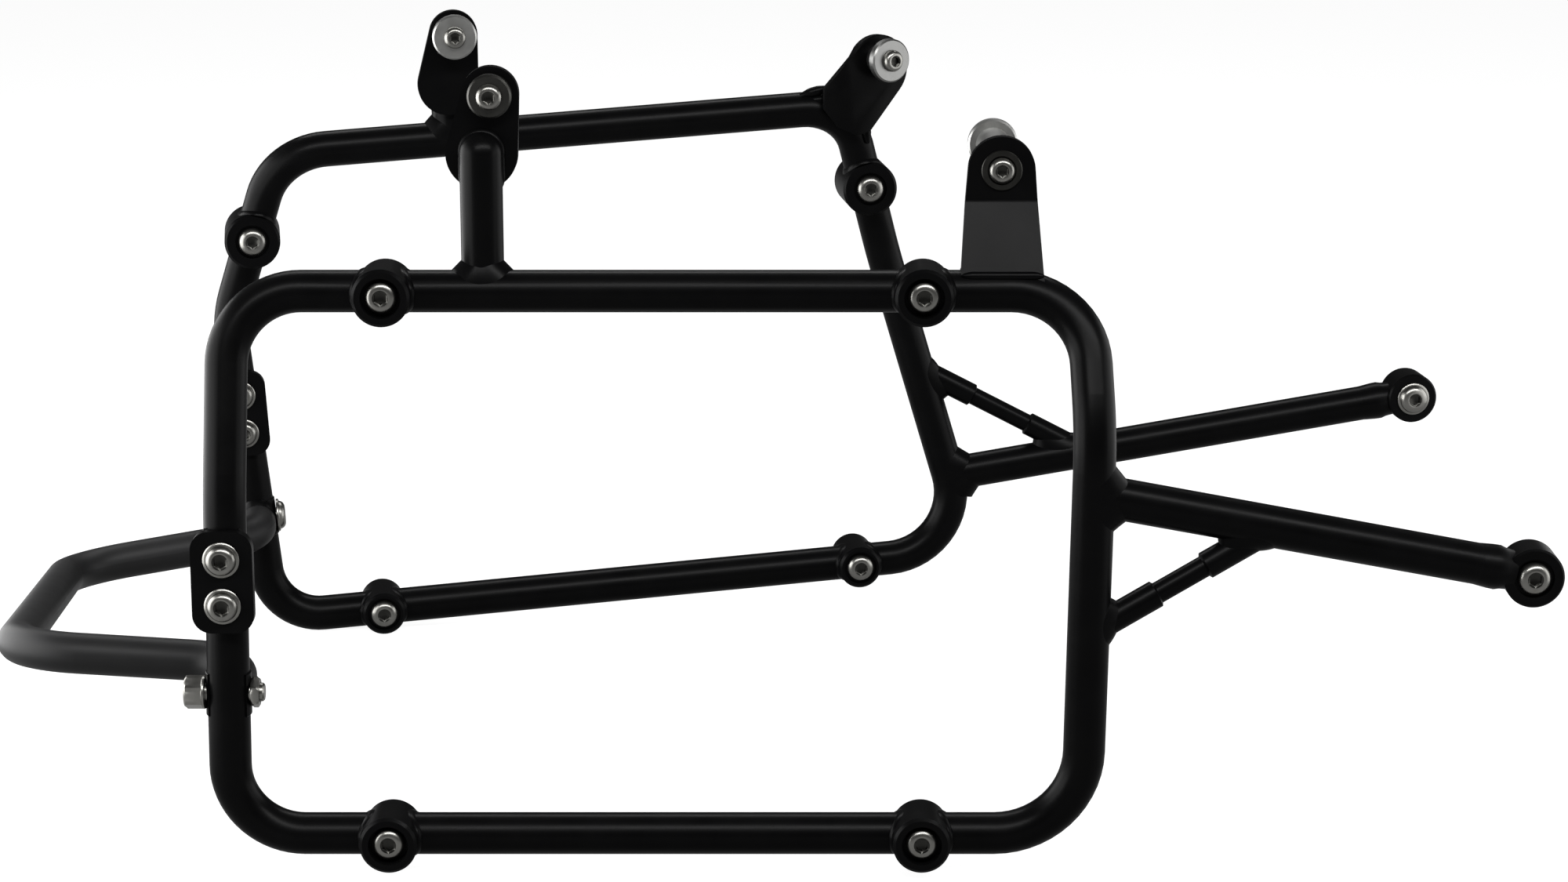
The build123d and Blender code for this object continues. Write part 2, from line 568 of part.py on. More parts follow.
def left_side():
    """Left hoop: taller, with a sloping front, short brackets and pucks on its uprights."""
    hoop = Hoop("left", LEFT, LEFT_FRAME)
    slope = (LEFT_TOP_FRONT_X - LEFT_BOTTOM_FRONT_X) / LEFT_TOP_Z
    hoop.bend(
        0.0,
        LEFT_TOP_Z,
        [
            (LEFT_BOTTOM_REAR_X, BOTTOM_OFFSET, 0.0),
            (LEFT_REAR_KNEE_X, KNEE_OFFSET, LEFT_REAR_KNEE_Z),
            (LEFT_TOP_REAR_X, TOP_OFFSET, LEFT_TOP_Z),
        ],
        [
            (LEFT_BOTTOM_FRONT_X, BOTTOM_OFFSET, 0.0),
            (LEFT_BOTTOM_FRONT_X + slope * LEFT_FRONT_KNEE_Z, KNEE_OFFSET, LEFT_FRONT_KNEE_Z),
            (LEFT_TOP_FRONT_X, TOP_OFFSET, LEFT_TOP_Z),
        ],
        [LEFT_REAR_LOW_RADIUS, KNEE_RADIUS, LEFT_REAR_HIGH_RADIUS],
        [LEFT_FRONT_LOW_RADIUS, KNEE_RADIUS, LEFT_FRONT_HIGH_RADIUS],
    )
    upper_z = LEFT_TOP_Z - LEFT_UPPER_PUCK_DROP
    hubs = [
        ("upper_rear_puck", hoop.upright(hoop.rear, upper_z), LARGE_PUCK_D, LEAN_PUCK_STAND),
        ("upper_front_puck", hoop.upright(hoop.front, upper_z), LARGE_PUCK_D, LEAN_PUCK_STAND),
        ("lower_rear_puck", hoop.at(LEFT_LOWER_PUCK_REAR_X, BOTTOM_OFFSET, 0.0), SMALL_PUCK_D, PUCK_STAND),
        ("lower_front_puck", hoop.at(LEFT_LOWER_PUCK_FRONT_X, BOTTOM_OFFSET, 0.0), SMALL_PUCK_D, PUCK_STAND),
    ]
    hoop.pucks(hubs, LEFT_PUCK_BACK_STAND, PUCK_BACK_SEAT_DEPTH)
    outer, inner = hoop.rear_bracket(LEFT_POST_X, LEFT_POST_TOP, LEFT_POST_SET_IN, LEFT_LUG_X, LEFT_LUG_RISE)
    inward = hoop.outward() * -1
    hoop.add("rear_spacer", seat(inner, inward) * stepped_spacer(SPACER_NECK_H))
    bolt_through(hoop, "rear", inner + inward * (SPACER_NECK_H + SPACER_FLANGE_H), outer)
    corner_plate(hoop)
    eye = hoop.at(LEFT_EYE_X, EYE_OFFSET, LEFT_EYE_Z)
    hoop.stay(LEFT_STAY_Z, eye, LEFT_BRACE_Z, LEFT_BRACE_STAY_X)
    hoop.link_plate(LEFT_LINK_Z, -1)
    ends = hoop.saddle(LEFT_SADDLE_Z)
    return hoop.finish(), [LEFT_FRAME * Pos(*end) for end in ends]


def corner_plate(hoop):
    """Front bracket of the left hoop: flat plate turned out from the upper front corner."""
    turn = math.radians(CORNER_PLATE_TURN_DEG)
    along = Vector(math.cos(turn), hoop.side * math.sin(turn), 0)
    inward = Vector(math.sin(turn), -hoop.side * math.cos(turn), 0)
    hub_offset = TOP_OFFSET - CORNER_PLATE_SET_IN
    hub = hoop.at(LEFT_TOP_FRONT_X + CORNER_PLATE_AHEAD, hub_offset, LEFT_TOP_Z - CORNER_PLATE_DROP)
    flat = Plane(origin=hub, x_dir=along, z_dir=along.cross(Vector(0, 0, 1)))
    hole = (CORNER_PLATE_REACH_X, CORNER_PLATE_REACH_Z)
    top_edge = Pos(*hole) * Circle(CORNER_PLATE_R)
    outline = make_hull([*top_edge.edges(), *Circle(CORNER_PLATE_BASE_R).edges()])
    outline -= Pos(*hole) * Circle(M6.hole_d / 2)
    plate = extrude(flat * outline, amount=SHEET / 2, both=True)
    solids = (plate - hoop.blank).solids().sort_by(SortBy.VOLUME)
    hoop.add("front_plate", solids[-1])
    centre = hub + along * CORNER_PLATE_REACH_X + Vector(0, 0, CORNER_PLATE_REACH_Z)
    inner = centre + inward * (SHEET / 2)
    outer = centre - inward * (SHEET / 2)
    hoop.add("front_spacer", seat(inner, inward) * stepped_spacer(SPACER_NECK_H))
    bolt_through(hoop, "front", inner + inward * (SPACER_NECK_H + SPACER_FLANGE_H), outer)


def tie_bar(right_ends, left_ends):
    """Tie bar: a tube from saddle to saddle round the back of the wheel."""
    right_face, right_elbow = [place.position for place in right_ends]
    left_face, left_elbow = [place.position for place in left_ends]
    points = [
        right_face,
        right_elbow,
        Vector(TIE_RIGHT_REAR_X, -TIE_REAR_HALF, TIE_RIGHT_Z),
        Vector(TIE_LEFT_REAR_X, TIE_REAR_HALF, TIE_LEFT_Z),
        left_elbow,
        left_face,
    ]
    return bent_tube(points, [TIE_ELBOW_R, TIE_CORNER_R, TIE_CORNER_R, TIE_ELBOW_R])


def main():
    """Build both sides and the tie bar, stand them on Z = 0 and write one file for each piece."""
    right_nodes, right_ends = right_side()
    left_nodes, left_ends = left_side()
    nodes = {**right_nodes, **left_nodes}
    nodes["tie_bar"] = tie_bar(right_ends, left_ends)
    box = Compound(list(nodes.values())).bounding_box()
    down = Location((-box.center().X, -box.center().Y, -box.min.Z))
    print("moved by", -box.center().X, -box.center().Y, -box.min.Z)
    print("size", box.size)
    os.makedirs("parts", exist_ok=True)
    for name, shape in nodes.items():
        export_step(down * shape, f"parts/{name}.step")


main()
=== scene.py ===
"""Motorbike pannier frame: finishes, weld beads, fasteners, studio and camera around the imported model."""

import json
import logging
import math
from dataclasses import dataclass, replace
from enum import Enum

import bmesh
import bpy
from mathutils import Matrix, Vector

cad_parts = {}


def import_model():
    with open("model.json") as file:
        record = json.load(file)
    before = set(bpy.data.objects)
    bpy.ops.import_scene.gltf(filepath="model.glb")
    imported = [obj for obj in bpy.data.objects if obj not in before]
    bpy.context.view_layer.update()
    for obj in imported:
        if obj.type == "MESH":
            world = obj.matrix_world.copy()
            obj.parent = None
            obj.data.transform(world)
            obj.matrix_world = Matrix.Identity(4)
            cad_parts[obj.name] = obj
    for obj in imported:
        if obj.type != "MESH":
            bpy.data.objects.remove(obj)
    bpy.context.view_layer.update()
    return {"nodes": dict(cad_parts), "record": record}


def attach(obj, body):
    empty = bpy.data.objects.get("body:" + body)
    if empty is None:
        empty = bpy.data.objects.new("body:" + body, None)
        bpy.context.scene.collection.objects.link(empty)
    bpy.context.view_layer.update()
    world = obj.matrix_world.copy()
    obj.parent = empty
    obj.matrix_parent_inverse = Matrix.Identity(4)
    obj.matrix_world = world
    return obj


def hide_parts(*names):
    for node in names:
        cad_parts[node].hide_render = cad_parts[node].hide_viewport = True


LOG = logging.getLogger("pannier_frame")
Material = bpy.types.Material
Profile = list[tuple[float, float]]

# Metres in a millimetre, and the photograph that the camera repeats
MM = 0.001
IMAGE_WIDTH = 2000
SENSOR_WIDTH_MM = 36.0

# Fineness of the new meshes, with distances in metres
TURN_STEPS = 48
BEAD_STEPS = 96
BEAD_SIDES = 16
SEAM_SIDES = 12
THREAD_STEPS = 24
DOME_STEPS = 6
SHARP_DEG = 38.0
MERGE = 0.000005
POLE_MERGE = 0.00001
RING_MATCH = 0.00002

# Sockets of the Mix node for colours
MIX_LOW = 6
MIX_HIGH = 7
MIX_RESULT = 2


class Slot(Enum):
    """Material slots of the record."""

    COAT = "black_coat"
    ZINC = "zinc_fastener"
    SPACER = "turned_spacer"


class Sock:
    """A node socket whose arithmetic adds Math nodes."""

    def __init__(self, sheet: "Sheet", link: bpy.types.NodeSocket) -> None:
        """Wrap a socket of a node sheet.

        Args:
            sheet: the node sheet that the socket belongs to.
            link: the output socket.
        """
        self.sheet = sheet
        self.link = link

    def _math(self, operation: str, first: "Sock | float", second: "Sock | float") -> "Sock":
        """Add one Math node and return its value."""
        return self.sheet.node("ShaderNodeMath", {"operation": operation}, {0: first, 1: second})

    def __add__(self, other: "Sock | float") -> "Sock":
        """Sum."""
        return self._math("ADD", self, other)

    __radd__ = __add__

    def __mul__(self, other: "Sock | float") -> "Sock":
        """Product."""
        return self._math("MULTIPLY", self, other)

    __rmul__ = __mul__

    def __sub__(self, other: "Sock | float") -> "Sock":
        """Difference."""
        return self._math("SUBTRACT", self, other)

    def __rsub__(self, other: float) -> "Sock":
        """Difference from a number."""
        return self._math("SUBTRACT", other, self)


class Sheet:
    """The node sheet of one material."""

    def __init__(self, name: str) -> None:
        """Start a material with one Principled shader.

        Args:
            name: the material's name.
        """
        self.material = bpy.data.materials.new(name)
        self.material.use_nodes = True
        self.tree = self.material.node_tree
        self.shader = next(n for n in self.tree.nodes if n.type == "BSDF_PRINCIPLED")

    def node(self, kind: str, settings: dict, inputs: dict, output: int | str = 0) -> Sock:
        """Add a node.

        Args:
            kind: the node's type.
            settings: attributes that are set first.
            inputs: values or sockets by input name or number.
            output: the output to return.

        Returns:
            The chosen output, wrapped.
        """
        made = self.tree.nodes.new(kind)
        for key, value in settings.items():
            setattr(made, key, value)
        for key, value in inputs.items():
            self.feed(made.inputs[key], value)
        return Sock(self, made.outputs[output])

    def feed(self, socket: bpy.types.NodeSocket, value: object) -> None:
        """Link a wrapped socket or set a plain value.

        Args:
            socket: the input.
            value: what it takes.
        """
        if isinstance(value, Sock):
            self.tree.links.new(value.link, socket)
        else:
            socket.default_value = value

    def set(self, **values: object) -> None:
        """Feed inputs of the shader, with underscores for spaces in their names."""
        for key, value in values.items():
            self.feed(self.shader.inputs[key.replace("_", " ")], value)

    def noise(self, scale: float, detail: float) -> Sock:
        """Noise value on object coordinates."""
        place = self.node("ShaderNodeTexCoord", {}, {}, "Object")
        return self.node(
            "ShaderNodeTexNoise", {}, {"Vector": place, "Scale": scale, "Detail": detail}, "Fac"
        )

    def blend(self, mask: Sock, low: tuple, high: tuple) -> Sock:
        """Colour between two colours by a mask."""
        inputs = {"Factor": mask, MIX_LOW: low, MIX_HIGH: high}
        return self.node("ShaderNodeMix", {"data_type": "RGBA"}, inputs, MIX_RESULT)

    def path(self, kind: str) -> Sock:
        """One output of the light path."""
        return self.node("ShaderNodeLightPath", {}, {}, kind)

    def bump(self, height: Sock, strength: float, distance: float) -> Sock:
        """Bump normal from a height."""
        inputs = {"Height": height, "Strength": strength, "Distance": distance}
        return self.node("ShaderNodeBump", {}, inputs, "Normal")


@dataclass(frozen=True)
class Surface:
    """A powder coat or a bare metal, with cloudy tarnish and a fine grain; grain height in metres."""

    name: str
    deep: tuple
    pale: tuple
    rough: float
    cloud_scale: float
    grain_scale: float
    grain_strength: float
    cloud_detail: float = 3.0
    grain_detail: float = 2.0
    grain_height: float = 0.00002
    rough_spread: float = 0.12
    metallic: float = 1.0
    shine: float = 0.5

    def material(self) -> Material:
        """Build the surface.

        Returns:
            The material.
        """
        sheet = Sheet(self.name)
        cloud = sheet.noise(self.cloud_scale, self.cloud_detail)
        grain = sheet.noise(self.grain_scale, self.grain_detail)
        sheet.set(
            Base_Color=sheet.blend(cloud, self.deep, self.pale),
            Metallic=self.metallic,
            Roughness=cloud * self.rough_spread + self.rough,
            Specular_IOR_Level=self.shine,
            Normal=sheet.bump(grain, self.grain_strength, self.grain_height),
        )
        return sheet.material


SATIN_COAT = Surface(
    name="satin_black_powder_coat",
    deep=(0.0010, 0.0010, 0.0011, 1.0),
    pale=(0.0022, 0.0022, 0.0023, 1.0),
    rough=0.27,
    cloud_scale=60.0,
    grain_scale=900.0,
    grain_strength=0.25,
    grain_height=0.00005,
    rough_spread=0.10,
    metallic=0.0,
    shine=0.045,
)
BRIGHT_ZINC = Surface(
    name="bright_zinc_plate",
    deep=(0.165, 0.163, 0.151, 1.0),
    pale=(0.255, 0.251, 0.236, 1.0),
    rough=0.24,
    cloud_scale=220.0,
    grain_scale=2600.0,
    grain_strength=0.15,
    cloud_detail=4.0,
)
TURNED_ALUMINIUM = Surface(
    name="turned_aluminium",
    deep=(0.29, 0.29, 0.28, 1.0),
    pale=(0.40, 0.40, 0.39, 1.0),
    rough=0.30,
    cloud_scale=160.0,
    grain_scale=3200.0,
    grain_strength=0.2,
)
# Darker copy of the bright zinc that paints shade: it darkens the hexagon sockets of the screws and the
# whole washer on the right tab.
PAINTED_SHADE_ZINC = replace(
    BRIGHT_ZINC, name="painted_shade_socket_zinc",
    deep=(0.027, 0.0265, 0.024, 1.0), pale=(0.050, 0.0495, 0.046, 1.0),
)
SLOT_SURFACES = {Slot.COAT: SATIN_COAT, Slot.ZINC: BRIGHT_ZINC, Slot.SPACER: TURNED_ALUMINIUM}
NODE_SURFACES = {
    "tie_bar": replace(
        SATIN_COAT, name="matt_black_powder_coat", rough=0.44, shine=0.16,
        deep=(0.0050, 0.0050, 0.0052, 1.0), pale=(0.0080, 0.0080, 0.0082, 1.0),
    ),
    # Darker copy of the turned aluminium: painted shade standing in for the dark surroundings that this
    # spacer reflects.
    "right_rear_spacer": replace(
        TURNED_ALUMINIUM, name="painted_shade_turned_metal",
        deep=(0.040, 0.040, 0.037, 1.0), pale=(0.062, 0.061, 0.057, 1.0),
    ),
    # Darker copy of the turned aluminium: painted shade that dims the bright reflection on this spacer's
    # disc.
    "left_front_spacer": replace(
        TURNED_ALUMINIUM, name="painted_shade_turned_aluminium",
        deep=(0.17, 0.17, 0.165, 1.0), pale=(0.24, 0.24, 0.235, 1.0),
    ),
}


@dataclass(frozen=True)
class HoopFrame:
    """Where one hoop stands; its coordinates run forward, outward and up, in millimetres."""

    name: str
    side: int
    toe_deg: float
    pitch_deg: float
    lift_mm: float
    rear: tuple
    front: tuple
    top_z: float
    shift_mm: tuple = (-54.230, 0.165, 3.236)

    def matrix(self) -> Matrix:
        """Turn of the hoop in the model's frame."""
        toe = Matrix.Rotation(math.radians(self.toe_deg), 4, "Z")
        return toe @ Matrix.Rotation(math.radians(-self.pitch_deg), 4, "Y")

    def point(self, x: float, offset: float, z: float) -> Vector:
        """Model point, in metres, of a hoop point."""
        turned = self.matrix() @ Vector((x, self.side * offset, z))
        return (turned + Vector(self.shift_mm) + Vector((0.0, 0.0, self.lift_mm))) * MM

    def turn(self, x: float, outward: float, z: float) -> Vector:
        """Model direction of a hoop direction."""
        return (self.matrix() @ Vector((x, self.side * outward, z))).normalized()

    @staticmethod
    def leg(run: tuple, z: float) -> tuple:
        """Both ends of an upright's straight leg at a height."""
        return run[:2] if z <= run[1][2] else run[1:]

    def upright(self, run: tuple, z: float) -> tuple:
        """Hoop point at a height on an upright.

        Args:
            run: the upright's foot, knee and head.
            z: the height.

        Returns:
            The point in hoop coordinates.
        """
        low, high = self.leg(run, z)
        share = (z - low[2]) / (high[2] - low[2])
        return tuple(a + (b - a) * share for a, b in zip(low, high))

    def along(self, run: tuple, z: float) -> Vector:
        """Model direction of an upright at a height."""
        low, high = self.leg(run, z)
        return self.turn(*(b - a for a, b in zip(low, high)))


RIGHT_HOOP = HoopFrame(
    name="right",
    side=-1,
    toe_deg=-4.0,
    pitch_deg=0.0,
    lift_mm=0.0,
    rear=((-182.0, 195.0, 13.0), (-179.6, 200.0, 161.0), (-179.6, 172.0, 245.5)),
    front=((182.4, 195.0, 13.0), (184.9, 200.0, 190.0), (182.4, 172.0, 245.5)),
    top_z=245.5,
)
LEFT_HOOP = HoopFrame(
    name="left",
    side=1,
    toe_deg=4.0,
    pitch_deg=3.5,
    lift_mm=15.7,
    rear=((-187.5, 195.0, 0.0), (-195.5, 200.0, 159.0), (-163.3, 172.0, 248.0)),
    front=((184.0, 195.0, 0.0), (146.21, 200.0, 165.0), (127.2, 172.0, 248.0)),
    top_z=248.0,
)


def seat(place: Vector, axis: Vector) -> Matrix:
    """Matrix that stands Z on a place along an axis."""
    turn = axis.to_track_quat("Z", "Y").to_matrix().to_4x4()
    return Matrix.Translation(place) @ turn


class Piece:
    """A new piece of the model, shaped in one bmesh."""

    def __init__(self, name: str, slot: Slot, recess_shade: Material | None = None) -> None:
        """Start an empty piece.

        Args:
            name: the piece's name.
            slot: the material slot it belongs to; the piece keeps it, but it is not used.
            recess_shade: material that paints shade into the sockets of its screws, if it has any.
        """
        self.name = name
        self.slot = slot
        self.recess_shade = recess_shade
        self.shape = bmesh.new()

    def since(self, old: set) -> list:
        """Vertices that an earlier state didn't have."""
        return [v for v in self.shape.verts if v not in old]

    def wire(self, points: Profile, closed: bool = False) -> list:
        """Draw a line through (radius, height) points in millimetres, and return its vertices and edges."""
        verts = [self.shape.verts.new((r * MM, 0.0, z * MM)) for r, z in points]
        return verts + [self.shape.edges.new(pair) for pair in zip(verts, verts[1:] + verts[:1] * closed)]

    def circle(self, radius: float, sides: int) -> list:
        """Draw a circle about Z, in millimetres, and return its vertices and then its edges."""
        verts = bmesh.ops.create_circle(self.shape, segments=sides, radius=radius * MM)["verts"]
        return verts + list({e for v in verts for e in v.link_edges})

    def spin(self, geom: list, angle: float, steps: int, rise: float = 0.0, merge: bool = False) -> None:
        """Spin a section about Z in steps that rise by metres, and close it up where it merges."""
        bmesh.ops.spin(
            self.shape, geom=geom, cent=(0.0, 0.0, 0.0), axis=(0.0, 0.0, 1.0),
            dvec=(0.0, 0.0, rise), angle=angle, steps=steps, use_merge=merge,
        )

    def cap(self, verts: list, sides: int) -> None:
        """Close both ends of a spun section."""
        rims = {e for v in verts for e in v.link_edges if e.is_boundary}
        bmesh.ops.holes_fill(self.shape, edges=list(rims), sides=sides)

    def move(self, verts: list, place: Matrix) -> None:
        """Move vertices to a place."""
        bmesh.ops.transform(self.shape, matrix=place, verts=verts)

    def lathe(self, profile: Profile, place: Matrix, hexagon: tuple = (), recess: float = 0.0) -> None:
        """Spin a profile into a turned solid.

        Args:
            profile: (radius, height) pairs in millimetres, from pole to pole.
            place: where the axis stands, in metres.
            hexagon: (radius, width over flats) of the rings that become a hexagon.
            recess: radius above the seat inside which the faces get the painted shade of the recess.
        """
        old = set(self.shape.verts)
        self.spin(self.wire(profile), math.tau, TURN_STEPS, merge=True)
        bmesh.ops.remove_doubles(self.shape, verts=self.since(old), dist=POLE_MERGE)
        made = self.since(old)
        if recess:
            self._darken(made, recess * MM)
        if hexagon:
            self._flats(made, hexagon[0] * MM, hexagon[1] * MM)
        self.move(made, place)

    @staticmethod
    def _darken(verts: list, radius: float) -> None:
        """Give the faces inside a radius and above the seat the material that paints shade into the recess.

        Args:
            verts: vertices of the turned solid.
            radius: the radius in metres.
        """
        for face in {f for v in verts for f in v.link_faces}:
            inside = all(v.co.xy.length < radius + RING_MATCH and v.co.z > 0.0 for v in face.verts)
            face.material_index = int(inside)

    @staticmethod
    def _flats(verts: list, radius: float, width: float) -> None:
        """Press the rings of one radius into a hexagon.

        Args:
            verts: vertices of the turned solid.
            radius: the rings' radius in metres.
            width: width over flats in metres.
        """
        half = math.pi / 6
        for vert in verts:
            if abs(vert.co.xy.length - radius) < RING_MATCH:
                angle = (math.atan2(vert.co.y, vert.co.x) + half) % (2 * half) - half
                vert.co.xy = vert.co.xy.normalized() * (width / 2 / math.cos(angle))

    def ring(self, radius: float, bead: float) -> list:
        """Spin a small circle into a ring about Z.

        Args:
            radius: the ring's radius in millimetres.
            bead: the circle's radius.

        Returns:
            The ring's vertices.
        """
        old = set(self.shape.verts)
        section = self.circle(bead, BEAD_SIDES)
        stand = Matrix.Translation((radius * MM, 0.0, 0.0)) @ Matrix.Rotation(math.pi / 2, 4, "X")
        self.move(section[:BEAD_SIDES], stand)
        self.spin(section, math.tau, BEAD_STEPS, merge=True)
        return self.since(old)

    def sleeve(self, section: Profile, spread_deg: float, place: Matrix) -> None:
        """Spin a closed section into an open sleeve about X's side of Z.

        Args:
            section: (radius, height) corners in millimetres.
            spread_deg: angle that the sleeve covers.
            place: where its axis stands, in metres.
        """
        old = set(self.shape.verts)
        spread = math.radians(spread_deg)
        self.spin(self.wire(section, closed=True), spread, TURN_STEPS)
        made = self.since(old)
        self.cap(made, len(section))
        self.move(made, place @ Matrix.Rotation(-spread / 2, 4, "Z"))

    def finish(self, material: Material, *nodes: str) -> None:
        """Close the piece, dress it and set it on the frame.

        Args:
            material: its finish.
            nodes: CAD nodes that it stands for.
        """
        bmesh.ops.remove_doubles(self.shape, verts=self.shape.verts, dist=MERGE)
        bmesh.ops.recalc_face_normals(self.shape, faces=self.shape.faces)
        mesh = bpy.data.meshes.new(self.name)
        self.shape.to_mesh(mesh)
        self.shape.free()
        mesh.polygons.foreach_set("use_smooth", [True] * len(mesh.polygons))
        mesh.set_sharp_from_angle(angle=math.radians(SHARP_DEG))
        mesh.materials.append(material)
        # Second material: painted shade on the recess faces.
        if self.recess_shade:
            mesh.materials.append(self.recess_shade)
        made = bpy.data.objects.new(self.name, mesh)
        bpy.context.collection.objects.link(made)
        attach(made, "root")
        if nodes:
            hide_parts(*nodes)
        LOG.info("made %s with %d faces", self.name, len(mesh.polygons))


@dataclass(frozen=True)
class ScrewSize:
    """Sizes of one thread's button-head screw and nut, in millimetres."""

    bolt_r: float
    core_r: float
    head_r: float
    head_h: float
    socket_af: float
    socket_depth: float
    pitch: float
    nut_af: float
    nut_h: float


M8 = ScrewSize(4.0, 3.4, 7.0, 4.4, 5.0, 2.7, 1.25, 13.0, 6.5)
M6 = ScrewSize(3.0, 2.55, 5.5, 3.6, 4.0, 2.2, 1.0, 10.0, 5.0)
LOW_NUT = replace(M8, nut_af=12.0, nut_h=3.6)

# Forms that heads, nuts and threads share, in millimetres or as shares of a size;
# the two edges are (radius, height) steps from a head's rim and seat
PLAIN_EDGE = ((-0.3, 0.0), (0.0, 0.3))
FLANGE_EDGE = ((-0.3, 0.0), (0.0, 0.3), (0.0, 1.0), (-0.4, 1.4), (-1.1, 1.5))
FLANGE_H = 1.4
FLANGE_STEP = 1.2
DOME_FOOT = 0.25
DOME_START_DEG = 10.0
SHANK_TIP = 0.8
SOCKET_RIM = 0.55
SOCKET_LEAD = 0.5
CROWN_RIM = 0.5
FLOOR_SHARE = 0.84
FLOOR_CONE = 1.5
FLOOR_LEAST = 0.2
THREAD_ROOT = 0.5
TIP_TAPER = 0.7
RIDGE_SHARE = 0.45
RIDGE_SINK = 0.1
CREST_SINK = 0.15
CREST_HALF = 0.08
NUT_EDGE = 0.3
NUT_SOFT = 0.9
BORE_SOFT = 0.5


class ScrewPiece(Piece):
    """A piece made of screws and nuts."""

    def head(self, size: ScrewSize, place: Matrix, length: float, flange: float = 0.0) -> None:
        """Turn a button-head screw with a plain shank.

        Args:
            size: the thread's sizes.
            place: its seat, with Z out of the head.
            length: the shank's length.
            flange: radius of the head's flange, or none.
        """
        h, bolt_r = size.head_h, size.bolt_r
        socket_r = size.socket_af / math.sqrt(3)
        mouth = socket_r + SOCKET_RIM
        floor = h - size.socket_depth
        rim, edge, dome_r, dome_foot = size.head_r, PLAIN_EDGE, size.head_r, DOME_FOOT * h
        if flange:
            rim, edge, dome_r, dome_foot = flange, FLANGE_EDGE, flange - FLANGE_STEP, FLANGE_H
        profile = [(0.0, -length), (bolt_r - SHANK_TIP, -length)]
        profile += [(bolt_r, SHANK_TIP - length), (bolt_r, 0.0)]
        profile += [(rim + r, z) for r, z in edge]
        crown = mouth + CROWN_RIM
        for step in range(DOME_STEPS + 1):
            angle = math.radians(DOME_START_DEG + (90.0 - DOME_START_DEG) * step / DOME_STEPS)
            r = crown + (dome_r - crown) * math.cos(angle)
            profile.append((r, dome_foot + (h - dome_foot) * math.sin(angle)))
        profile += [(mouth, h), (socket_r, h - SOCKET_LEAD), (socket_r, floor)]
        profile += [(socket_r * FLOOR_SHARE, floor), (0.0, max(floor - FLOOR_CONE, FLOOR_LEAST))]
        # Faces inside the socket's mouth get the painted-shade zinc.
        self.lathe(profile, place, (socket_r, size.socket_af), mouth)

    def thread(self, size: ScrewSize, place: Matrix, reach: float) -> None:
        """Turn a free threaded end: a core and a helical ridge.

        Args:
            size: the thread's sizes.
            place: the end's root, with Z towards the tip.
            reach: its length.
        """
        core_r, full = size.core_r, reach - SHANK_TIP
        core = [(0.0, -THREAD_ROOT), (core_r, -THREAD_ROOT), (core_r, full)]
        self.lathe(core + [(core_r - TIP_TAPER, reach), (0.0, reach)], place)
        old = set(self.shape.verts)
        half = size.pitch * RIDGE_SHARE
        root_r, crest_r = core_r - RIDGE_SINK, size.bolt_r - CREST_SINK
        flank = [(root_r, 0.0), (crest_r, half - CREST_HALF)]
        flank += [(crest_r, half + CREST_HALF), (root_r, 2 * half)]
        turns = (full - 2 * half) / size.pitch
        steps = int(turns * THREAD_STEPS)
        rise = turns * size.pitch * MM / steps
        self.spin(self.wire(flank, closed=True), math.tau * turns, steps, rise)
        ridge = self.since(old)
        self.cap(ridge, len(flank))
        self.move(ridge, place)

    def nut(self, size: ScrewSize, place: Matrix) -> None:
        """Turn a hexagon nut with its corners rounded off.

        Args:
            size: the thread's sizes.
            place: its seat, with Z out of it.
        """
        bore, top = size.bolt_r, size.nut_h
        corner = size.nut_af / math.sqrt(3)
        flat = size.nut_af / 2 - NUT_EDGE
        profile = [(bore, 0.0), (flat, 0.0), (corner, NUT_SOFT), (corner, top - NUT_SOFT), (flat, top)]
        profile += [(bore + BORE_SOFT, top), (bore, top - BORE_SOFT), (bore, 0.0)]
        self.lathe(profile, place, (corner, size.nut_af))


